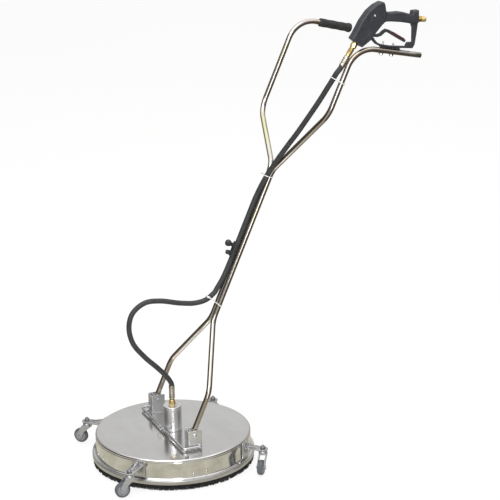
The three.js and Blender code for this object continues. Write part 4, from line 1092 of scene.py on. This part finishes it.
# raised ribs on both outer faces, a pale button on the left one, and the case screws
emit("gun_rib", [prism(RIB, *sorted((0, sign * 2.0)), YZ, gun_at(sign * 16.4, 0, 0), segments=3,
                       corner=2.4) for sign in (1, -1)],
     "slate_plastic", "handle")
emit("gun_button", lathe([(0, -1), (2.9, -1), (2.9, 1.0), (0, 1.4)], 32, gun_at(17.6, 0.5, 66),
                         (1, 0, 0), edge=0.5), "nylon_white", "handle")
SOCKET_HEAD = [(0, -2), (3.0, -2), (3.0, -0.1), (2.2, 0.15), (1.1, 0.15), (1.1, -1.0), (0, -1.0)]
emit("case_screws", [
    lathe(SOCKET_HEAD, 30, gun_at(sign * (13.3 if y > 50 else 16.8), y, z), (sign, 0, 0),
          edge=0.15, steps=2)
    for y, z in CASE_SCREWS for sign in (1, -1)], "dark_screw", "handle")

# name, CAD node, relaxing passes, material, body
for name, node, smooth, material, body in (
        ("trigger_lever", "gun_trigger", 4, "slate_plastic", "trigger"),
        ("lock_lever_red", "trigger_lock", 3, "dark_red_plastic", "lock_lever"),
        ("saddle", "gun_saddle", 4, "black_rubber", "handle")):
    mesh = skin(name, [NODES[node].data], (0.45, 0.8), smooth)
    add_piece(name, mesh, material, body, node)
emit("trigger_axle", disc(3, -12.6, 12.6, 32, gun_at(0, -9, 5), (1, 0, 0), edge=0.4),
     "steel", "handle", "trigger_pin")

FERRULE_AT, FERRULE_LENGTH = 50.3, 35      # distances from the gun's outlet
emit("inlet_brass", [
    disc(7, -23, 1.5, 48, inlet(0), INLET_DIR, edge=0.4),
    hexnut(10.6, 9, inlet(1.2), INLET_DIR),
    disc(7.8, 9, 12, 48, inlet(0), INLET_DIR, edge=0.3),
    thread(9.4, depth=0.75, pitch=1.5, length=13.2, origin=inlet(11.6), axis=INLET_DIR),
    lathe([(0, 24.2), (8.4, 24.2), (8.4, 27.5), (4, 27.5), (4, 20), (0, 20)], 48, inlet(0),
          INLET_DIR, edge=0.3, steps=2),
], "brass", "handle", "gun_inlet_fitting")
emit("outlet_brass", [
    disc(7, -19, 2, 48, outlet(0), OUTLET_DIR, edge=0.4),
    hexnut(10.4, 17, outlet(1), OUTLET_DIR),
    disc(7.6, 17, 21, 48, outlet(0), OUTLET_DIR, edge=0.3),
    thread(9.2, depth=0.55, pitch=1.6, length=20.0, origin=outlet(21.6), axis=OUTLET_DIR),
    lathe([(0, 40), (8, 41), (8, 50), (0, 50)], 48, outlet(0), OUTLET_DIR, edge=0.4),
], "brass", "handle", "gun_outlet_fitting")
emit("ferrule_upper", ferrule(outlet(FERRULE_AT), OUTLET_DIR, FERRULE_LENGTH), "ferrule",
     "handle", "hose_ferrule_upper")

# clamp screws square to the left grip: tag, y, reach above the grip's centre line
grip_up = vec(0, math.sin(rad(LEFT_DROOP)), math.cos(rad(LEFT_DROOP)))
for tag, y, above in (("front", 660.0, 29.5), ("rear", 696.5, 28.0)):
    centre = left_top + left_dir * (y - left_top[1]) / left_dir[1]
    emit(f"clamp_screw_{tag}", [
        rod(centre - grip_up * 15.9, centre + grip_up * above, 2.9, 28),
        thread(3.0, depth=0.35, pitch=1.0, length=9.0, origin=centre + grip_up * (above - 9.2),
               axis=grip_up, segments=28, taper=0.8),
        disc(8.0, 0, 1.1, 40, centre - grip_up * 10.3, grip_up, edge=0.3),
        hexnut(6.4, 4.6, centre - grip_up * 14.6, grip_up),
    ], "nut_steel", "handle", f"clamp_bolt_{tag}")

# ------------------------------------------------------------------------ hose
HOSE_BEHIND = -16.1     # the hose runs in front of the tube pair
# (x, behind, along) down the handle
UPPER_STATIONS = [
    (222, -26.6, 1262), (211, -25.6, 1237), (196, -24.5, 1203), (178, -23.2, 1162),
    (150, -21.9, 1106), (114, -21, 1036), (83, -20.4, 984), (54, -20, 930), (22, -18.8, 862),
    (3, HOSE_BEHIND - 1, 790), (0, HOSE_BEHIND - 0.2, 720), (0, HOSE_BEHIND - 0.2, 600),
    (0, HOSE_BEHIND - 0.6, 540), (0, -19, 492), (0, -26.5, 447)]
# (y, z) of the loose loop down to the swivel
LOOP_STATIONS = [(132, 541), (91, 535), (38, 543), (-32, 561), (-84, 562), (-127, 534),
                 (-142, 488), (-131, 430), (-91, 374), (-47, 328), (-14, 289), (-1.2, 266),
                 (0, 260.3)]
mouth = FERRULE_AT + FERRULE_LENGTH
upper = [outlet(FERRULE_AT + 8.4)] + catmull(
    [outlet(mouth + 1), outlet(mouth + 7)] + [handle_at(*p) for p in UPPER_STATIONS], 12)
emit("hose_run", sweep(upper, HOSE_R, 40, cap=0.4), "hose_cover", "handle",
     "hose_upper")
hose_dir = unit(upper[-1] - upper[-2])
lower = [upper[-1] - hose_dir * 0.6] + catmull(
    [upper[-1] + hose_dir * 8] + [(0, y, z) for y, z in LOOP_STATIONS], 16) + [vec(0, 0, 220.7)]
blend_from, blend_to = vec(0, 0, 262) + ORIGIN, vec(0, 120, 541) + ORIGIN
emit("hose_loop", sweep(lower, HOSE_R, 40, cap=0.4), "hose_cover", None,
     "hose_lower", blend=("deck", "handle", tuple(blend_from * MM), tuple(blend_to * MM)))

# ----------------------------------------------------------------- cable ties
TIE_POINTS, TIE_WIDTH = 96, 3.4


def hull_loop(circles, grow):
    """A loop round circles of (x, behind, radius), grown outward."""
    loop = []
    for i in range(TIE_POINTS):
        d = vec(math.cos(TAU * i / TIE_POINTS), math.sin(TAU * i / TIE_POINTS))
        x, y, radius = max(circles, key=lambda c: c[0] * d[0] + c[1] * d[1] + c[2])
        loop.append((x + d[0] * (radius + grow), y + d[1] * (radius + grow)))
    return loop


def cable_tie(along, circles, head_at, tilt):
    """Strap, locking head and cut tail. head_at is the loop point that carries the head."""
    inner, outer = hull_loop(circles, 0.15), hull_loop(circles, 1.35)
    half = TIE_WIDTH / 2

    def strap_at(point, offset):
        return handle_at(point[0], point[1], along + offset + tilt * point[1])

    rings = [[strap_at(low, -half), strap_at(low, half),
              strap_at(high, half - 0.2), strap_at(high, -half + 0.2)]
             for low, high in zip(inner, outer)]
    a = TAU * head_at / TIE_POINTS
    outward = unit(vec(1, 0, 0) * math.cos(a) + BEHIND * math.sin(a))
    sideways = np.cross(ALONG, outward)
    head = strap_at(outer[head_at], 0)
    tail_dir = unit(sideways * 0.72 + outward * 0.69)
    return [
        grid(rings, closed=True),
        prism([(-4.6, -2.9), (4.6, -2.9), (4.6, 2.9), (-4.6, 2.9)], -1.0, 3.6, (sideways, ALONG),
              head, bevel=0.7, segments=3, corner=0.8),
        prism([(0, -1.9), (16, -1.7), (16, 1.7), (0, 1.9)], -0.6, 0.6, (tail_dir, ALONG),
              head + outward * 1.2, bevel=0.25, corner=0.6)]


both_tubes = [(-PAIR_X, 0, TUBE_R), (PAIR_X, 0, TUBE_R)]
for tag, along, circles, head_at, tilt in (
        ("top", 1238, [(212.5, -25.7, 9.4), (226, 0, TUBE_R)], 30, -0.16),
        ("mid", 864, [(23, -18.9, 9.0)] + both_tubes, 62, 0.0),
        ("low", 405, [(0, -41.5, 9.2)] + both_tubes, 88, -0.32)):
    emit(f"cable_tie_{tag}", cable_tie(along, circles, head_at, tilt), "nylon_white", "handle")


# ------------------------------------------------------------------- hose clip
def clip_lobe(profile, along, rise):
    """A finger lobe pointing forward from the clip."""
    return lathe(profile, 64, handle_at(0, HOSE_BEHIND - 8.6 - 3, along),
                 unit(-BEHIND + ALONG * rise), edge=2.0)


clip_section = (arc(0, HOSE_BEHIND, 9.0, 200, 340, 20)
                + arc(0, HOSE_BEHIND, 13.8, 340, 200, 20))
mesh = skin("hose_clip_body", [
    prism(clip_section, 572, 622, ((1, 0, 0), BEHIND), handle_at(0, 0, 0), bevel=1.2),
    clip_lobe([(0, 0), (7, 0), (6, 10), (9.5, 14), (11.5, 19), (11, 25), (7, 29.5), (0, 30.5)],
              609, 0.1),
    clip_lobe([(0, 0), (6, 0), (7.6, 8), (8, 12), (6, 16.5), (0, 18)], 583, -0.15),
], (0.6, 1.0), 6)
add_piece("hose_clip_body", mesh, "black_plastic", "handle", "hose_clip")

# --------------------------------------------------------------------- casters
# Bracket parts are written with the caster on +X; fork and wheel parts round the fork's stem.
STEM_R, TRAIL, WHEEL_R, WHEEL_HALF = 326.7, 25.0, 25.0, 9.0
# name, angle round the deck, direction the fork trails in
CASTERS = [("rear_left", 43.5, -39), ("rear_right", 133.5, 108),
           ("front_right", 223.5, 224), ("front_left", 313.5, 264)]
CASTER_BEADS = [      # start, end, radius
    ((264.9, 3.0, 95), (264.9, 3.0, 83), 1.5),
    ((264.9, -3.0, 95), (264.9, -3.0, 83), 1.5),
    ((264.9, -16.5, 82.6), (264.9, -3.5, 82.6), 1.5),
    ((264.9, 3.5, 82.6), (264.9, 16.5, 82.6), 1.5),
    ((312.5, 2.8, 82.4), (266.5, 2.8, 82.4), 1.3),
    ((312.5, -2.8, 82.4), (266.5, -2.8, 82.4), 1.3)]


def caster_plates():
    tongue = [(262, -17)] + arc(STEM_R, 0, 17, -90, 90, 15) + [(262, 17)]
    return [
        prism([(-23, 41), (23, 41), (23, 97), (-23, 97)], 260.4, 264.4, YZ, bevel=0.7, segments=3,
              corner=3.5),
        prism(tongue, 78, 82, bevel=0.7, segments=3),
        prism([(263, 80), (313.7, 80), (313.7, 83.5), (269, 96), (263, 96)], 0, 4, XZ, (0, 2, 0),
              bevel=0.6, corner=1.5),
        prism([(263, 80), (263, 52), (268, 52), (284, 80)], 0, 4, XZ, (0, 2, 0), bevel=0.6,
              corner=1.5)]


def fork_part():
    """The pressed fork as one skin, with the axle hole through both cheeks."""
    cheek = [(-13, 66), (14, 66), (24, 54), (TRAIL + 9.2, 30), (TRAIL + 9.6, 24),
             (TRAIL + 6.8, 18.2), (TRAIL, 15.4), (TRAIL - 6.8, 18.2), (TRAIL - 10, 26), (8, 42),
             (-13, 59)]
    solids = [prism(cheek, low, low + 2.0, XZ, bevel=0.0, corner=3.5) for low in (-12.5, 10.5)]
    solids.append(prism([(-13, -12.5), (14, -12.5), (14, 12.5), (-13, 12.5)], 63.5, 66, bevel=0.3,
                        corner=3))
    solids.append(lathe([(0, 64.6), (13.5, 64.6), (14.5, 67), (14.5, 68.6), (13.6, 69.1),
                         (14.5, 69.6), (14.5, 71), (12, 75), (9, 77.7), (0, 77.7)], 72,
                        edge=0.5, steps=3))
    hole = rod((TRAIL, -30, WHEEL_R), (TRAIL, 30, WHEEL_R), 3.4, 32)
    mesh = skin("fork_skin", solids, (0.42, 0.75), 4, [hole])
    coords = np.zeros(len(mesh.vertices) * 3)
    mesh.vertices.foreach_get("co", coords)
    return {"v": coords.reshape(-1, 3) * 1000 - ORIGIN,
            "f": [tuple(face.vertices) for face in mesh.polygons], "uv": None}


def fork_top():
    return [
        rod((0, 0, 77), (0, 0, 94), 4.4, 28),
        thread(5.0, depth=0.6, pitch=1.25, length=6.5, origin=(0, 0, 87.3), axis=UP, segments=36,
               taper=0.9),
        disc(9.0, 0, 1.2, 40, (0, 0, 82.3), edge=0.3),
        hexnut(9, 5.9, (0, 0, 83.5))]


WHEEL_AT, WHEEL_AXIS = (TRAIL, 0, WHEEL_R), (0, 1, 0)


def wheel_tyre():
    half, outer = WHEEL_HALF, WHEEL_R
    return lathe([(18.2, -half), (outer - 3, -half), (outer, -half + 4), (outer, -1.6),
                  (outer - 0.35, -1.2), (outer - 0.35, 1.2), (outer, 1.6), (outer, half - 4),
                  (outer - 3, half), (18.2, half)], 96, WHEEL_AT, WHEEL_AXIS,
                 edge=[0.8, 2.0, 2.2, 0.2, 0.1, 0.1, 0.2, 2.2, 2.0, 0.8], steps=5)


def wheel_hub():
    half = WHEEL_HALF
    parts = [lathe([(3.6, -half - 1), (7, -half - 1), (8, -half + 1.5), (16.2, -half + 1.5),
                    (17.4, -half + 0.2), (18.4, -half + 0.6), (18.4, half - 0.6),
                    (17.4, half - 0.2), (16.2, half - 1.5), (8, half - 1.5), (7, half + 1),
                    (3.6, half + 1)], 80, WHEEL_AT, WHEEL_AXIS, edge=0.5, steps=3)]
    for i in range(6):
        a = rad(60 * i + 12)
        plane = (vec(math.cos(a), 0, math.sin(a)), vec(-math.sin(a), 0, math.cos(a)))
        for y in (half - 1.7, -half + 1.7):
            parts.append(prism([(6.6, -0.8), (17.2, -0.8), (17.2, 0.8), (6.6, 0.8)], -0.9, 0.9,
                               plane, vec(*WHEEL_AT) + vec(0, y, 0), bevel=0.3))
    return parts


def wheel_bolt(half=12.8):
    return [
        lathe([(0, -half - 3), (4.8, -half - 3), (5.8, -half - 2), (5.8, -half), (3.1, -half),
               (3.1, half), (0, half)], 48, WHEEL_AT, WHEEL_AXIS, edge=0.4, steps=3),
        hexnut(5.8, 2.9, (TRAIL, half, WHEEL_R), WHEEL_AXIS)]


def caster(name, angle, trail, fork):
    def on_deck(parts):
        return [turn_z(part, angle) for part in parts]

    def on_stem(parts):
        stem = (STEM_R * math.cos(rad(angle)), STEM_R * math.sin(rad(angle)), 0)
        return [turn_z(part, trail, stem) for part in parts]

    fork_body, wheel_body = f"fork_{name}", f"wheel_{name}"
    emit(f"caster_plate_{name}", on_deck(caster_plates()), "satin_steel", "deck",
         f"caster_bracket_{name}")
    beads = [bead([start, end], radius) for start, end, radius in CASTER_BEADS]
    emit(f"caster_weld_{name}", on_deck(beads), "weld", "deck")
    emit(f"fork_{name}", on_stem([fork]), "zinc", fork_body, f"caster_fork_{name}",
         angle=70)
    emit(f"fork_nut_{name}", on_stem(fork_top()), "dark_nut", fork_body)
    emit(f"wheel_tyre_{name}", on_stem([wheel_tyre()]), "grey_tyre", wheel_body,
         f"caster_wheel_{name}")
    emit(f"wheel_hub_{name}", on_stem(wheel_hub()), "hub_plastic", wheel_body)
    emit(f"wheel_bolt_{name}", on_stem(wheel_bolt()), "bolt_zinc", fork_body,
         f"caster_axle_{name}")


fork = fork_part()
for name, angle, trail in CASTERS:
    caster(name, angle, trail, fork)

# ------------------------------------------- CAD nodes that stay: finish and edges
KEPT = {
    "deck_stiffener": "steel", "lower_bearing": "steel", "upper_bearing": "steel",
    "shaft_seal": "black_rubber", "gun_valve_block": "brass", "gun_valve_stem": "steel",
}
for name, ob in NODES.items():
    if ob.hide_render:
        continue
    ob.data.materials.clear()
    ob.data.materials.append(MATERIALS[KEPT[name]])
    bevel = ob.modifiers.new("edges", "BEVEL")
    bevel.width, bevel.segments, bevel.limit_method = 0.0004, 2, "ANGLE"
    bevel.angle_limit = rad(40)

# ----------------------------------------------------------------------- floor
# From here on lengths are in metres. RIGHT and FORWARD are the camera's level directions.
YAW, PITCH, ROLL = rad(66.827), rad(17.783), rad(-0.955)
RIGHT = vec(math.cos(YAW), math.sin(YAW), 0)
FORWARD = vec(-math.sin(YAW), math.cos(YAW), 0)

bm = bmesh.new()
bmesh.ops.create_grid(bm, x_segments=60, y_segments=60, size=70)
floor_mesh = bpy.data.meshes.new("floor")
bm.to_mesh(floor_mesh)
bm.free()
floor = bpy.data.objects.new("floor", floor_mesh)
floor.location = (0, 0, -0.0006)
bpy.context.scene.collection.objects.link(floor)


def floor_pale():
    """Even and pale to the camera; its glossy reflections show a warm floor with dark sides."""
    net = Material("floor_pale")
    light_path = net.node("LightPath").outputs
    position = net.node("NewGeometry").outputs["Position"]

    def from_axis(direction):
        start = float(ORIGIN @ direction) * MM
        return net.calc("SUBTRACT", net.dot(position, direction), start)

    across, away = from_axis(RIGHT), from_axis(FORWARD)
    squares = net.calc("ADD", net.times(across, across), net.times(away, away))
    reach = net.calc("SQRT", squares)
    bearing = net.calc("DIVIDE", across, net.calc("MAXIMUM", reach, 0.05))
    patches = net.noise(7.5, detail=4, rough=0.6, source=position)
    near = net.mix(net.remap(patches, span=(0.36, 0.66)), (0.66, 0.635, 0.52), (0.47, 0.445, 0.36))
    # from the camera's left to its right
    far = net.ramp(net.remap(bearing, span=(-1, 1)), [
        (0.0, (0.055, 0.045, 0.035)), (0.10, (0.05, 0.04, 0.03)), (0.17, (0.40, 0.36, 0.28)),
        (0.30, (0.62, 0.61, 0.58)), (0.55, (0.66, 0.64, 0.58)), (0.70, (0.58, 0.53, 0.42)),
        (0.80, (0.30, 0.24, 0.17)), (0.88, (0.06, 0.045, 0.035)), (1.0, (0.07, 0.055, 0.04))])
    reflected = net.mix(net.remap(reach, span=(0.55, 0.85)), near, far)
    clouds = net.remap(net.noise(0.6, detail=3, rough=0.5))
    pale = net.mix(clouds, (0.82, 0.82, 0.818), (0.805, 0.805, 0.803))
    glossy, camera = light_path["Is Glossy Ray"], light_path["Is Camera Ray"]
    net.put("Emission Color", net.mix(glossy, net.mix(camera, (0, 0, 0), pale), reflected))
    net.put("Emission Strength", 1.0)
    lit = net.mix(camera, (0.90, 0.90, 0.895), (0.20, 0.20, 0.20))
    net.put("Base Color", net.mix(glossy, lit, (0.02, 0.02, 0.02)))
    net.put("Roughness", net.remap(net.noise(30, detail=3), to=(0.75, 0.9)))
    net.put("Specular IOR Level", 0.1)
    return net.material


floor_mesh.materials.append(floor_pale())


# ----------------------------------------------------------------------- world
def studio_world():
    """A plain pale backdrop to the camera, a studio with dark sides to everything else."""
    world = bpy.data.worlds.new("studio")
    bpy.context.scene.world = world
    world.use_nodes = True
    world.node_tree.nodes.clear()
    net = Nodes(world.node_tree)
    direction = net.node("TexCoord").outputs["Generated"]
    height = net.ramp(net.remap(net.dot(direction, UP), span=(-1.0, 1.0)), [
        (0.0, (0.50, 0.47, 0.42)), (0.50, (0.60, 0.585, 0.56)), (0.56, (0.66, 0.655, 0.65)),
        (0.70, (0.70, 0.70, 0.70)), (0.86, 0.85), (1.0, 0.75)])
    sides = net.ramp(net.remap(net.dot(direction, RIGHT), span=(-1.0, 1.0)), [
        (0.0, 0.12), (0.06, 0.10), (0.16, 0.55), (0.38, 0.68), (0.44, 0.98), (0.56, 0.98),
        (0.62, 0.72), (0.80, 0.80), (0.88, 0.80), (0.95, 0.14), (1.0, 0.18)])
    camera = net.node("LightPath").outputs["Is Camera Ray"]
    studio = net.mix(1.0, height, sides, mode="MULTIPLY")
    color = net.mix(camera, studio, (0.82, 0.82, 0.818))
    background = net.node("Background", {"Color": color, "Strength": 1.0})
    net.node("OutputWorld", {0: background.outputs[0]})


studio_world()

# ---------------------------------------------------------------------- lights
TARGET = Vector((ORIGIN[0] * MM, ORIGIN[1] * MM + 0.2, 0.7))


def add_light(name, data, direction, location=ZERO):
    ob = bpy.data.objects.new(name, data)
    ob.location = location
    ob.rotation_mode = "QUATERNION"
    ob.rotation_quaternion = direction.to_track_quat("-Z", "Y")
    bpy.context.scene.collection.objects.link(ob)


def area(name, nearer, right, up, size, power):
    """A light aimed at the target from nearer the camera, right and up of it."""
    data = bpy.data.lights.new(name, "AREA")
    data.shape, data.size, data.size_y = "RECTANGLE", size[0], size[1]
    data.energy = power
    location = TARGET + Vector(-FORWARD) * nearer + Vector(RIGHT) * right + Vector((0, 0, up))
    add_light(name, data, TARGET - location, location)


area("key", nearer=2.6, right=-1.9, up=2.9, size=(2.6, 1.6), power=20)
area("fill", nearer=3.4, right=0.25, up=1.2, size=(0.55, 2.6), power=30)
area("top", nearer=0, right=0, up=3.4, size=(6.0, 6.0), power=95)
sun = bpy.data.lights.new("soft_sun", "SUN")
sun.energy, sun.angle = 0.5, rad(40)
add_light("soft_sun", sun, Vector((-0.35, 0.35, -1)))

# ---------------------------------------------------------------------- camera
CAMERA_AT = vec(5261.0, -1960.0, 2525.7)      # mm, working frame
camera_data = bpy.data.cameras.new("camera")
camera_data.sensor_width = 36.0
camera_data.lens = 130.4352
camera_data.clip_start, camera_data.clip_end = 0.1, 200
camera = bpy.data.objects.new("camera", camera_data)
view = FORWARD * math.cos(PITCH) - vec(0, 0, math.sin(PITCH))
level_up = np.cross(RIGHT, view)
camera_right = math.cos(ROLL) * RIGHT + math.sin(ROLL) * level_up
camera_up = -math.sin(ROLL) * RIGHT + math.cos(ROLL) * level_up
rotation = Matrix((tuple(camera_right), tuple(camera_up), tuple(-view))).transposed()
camera.rotation_mode = "QUATERNION"
camera.rotation_quaternion = rotation.to_quaternion()
camera.location = tuple((CAMERA_AT + ORIGIN) * MM)
bpy.context.scene.collection.objects.link(camera)
bpy.context.scene.camera = camera
bpy.context.scene.view_settings.view_transform = "Standard"

bpy.context.view_layer.update()
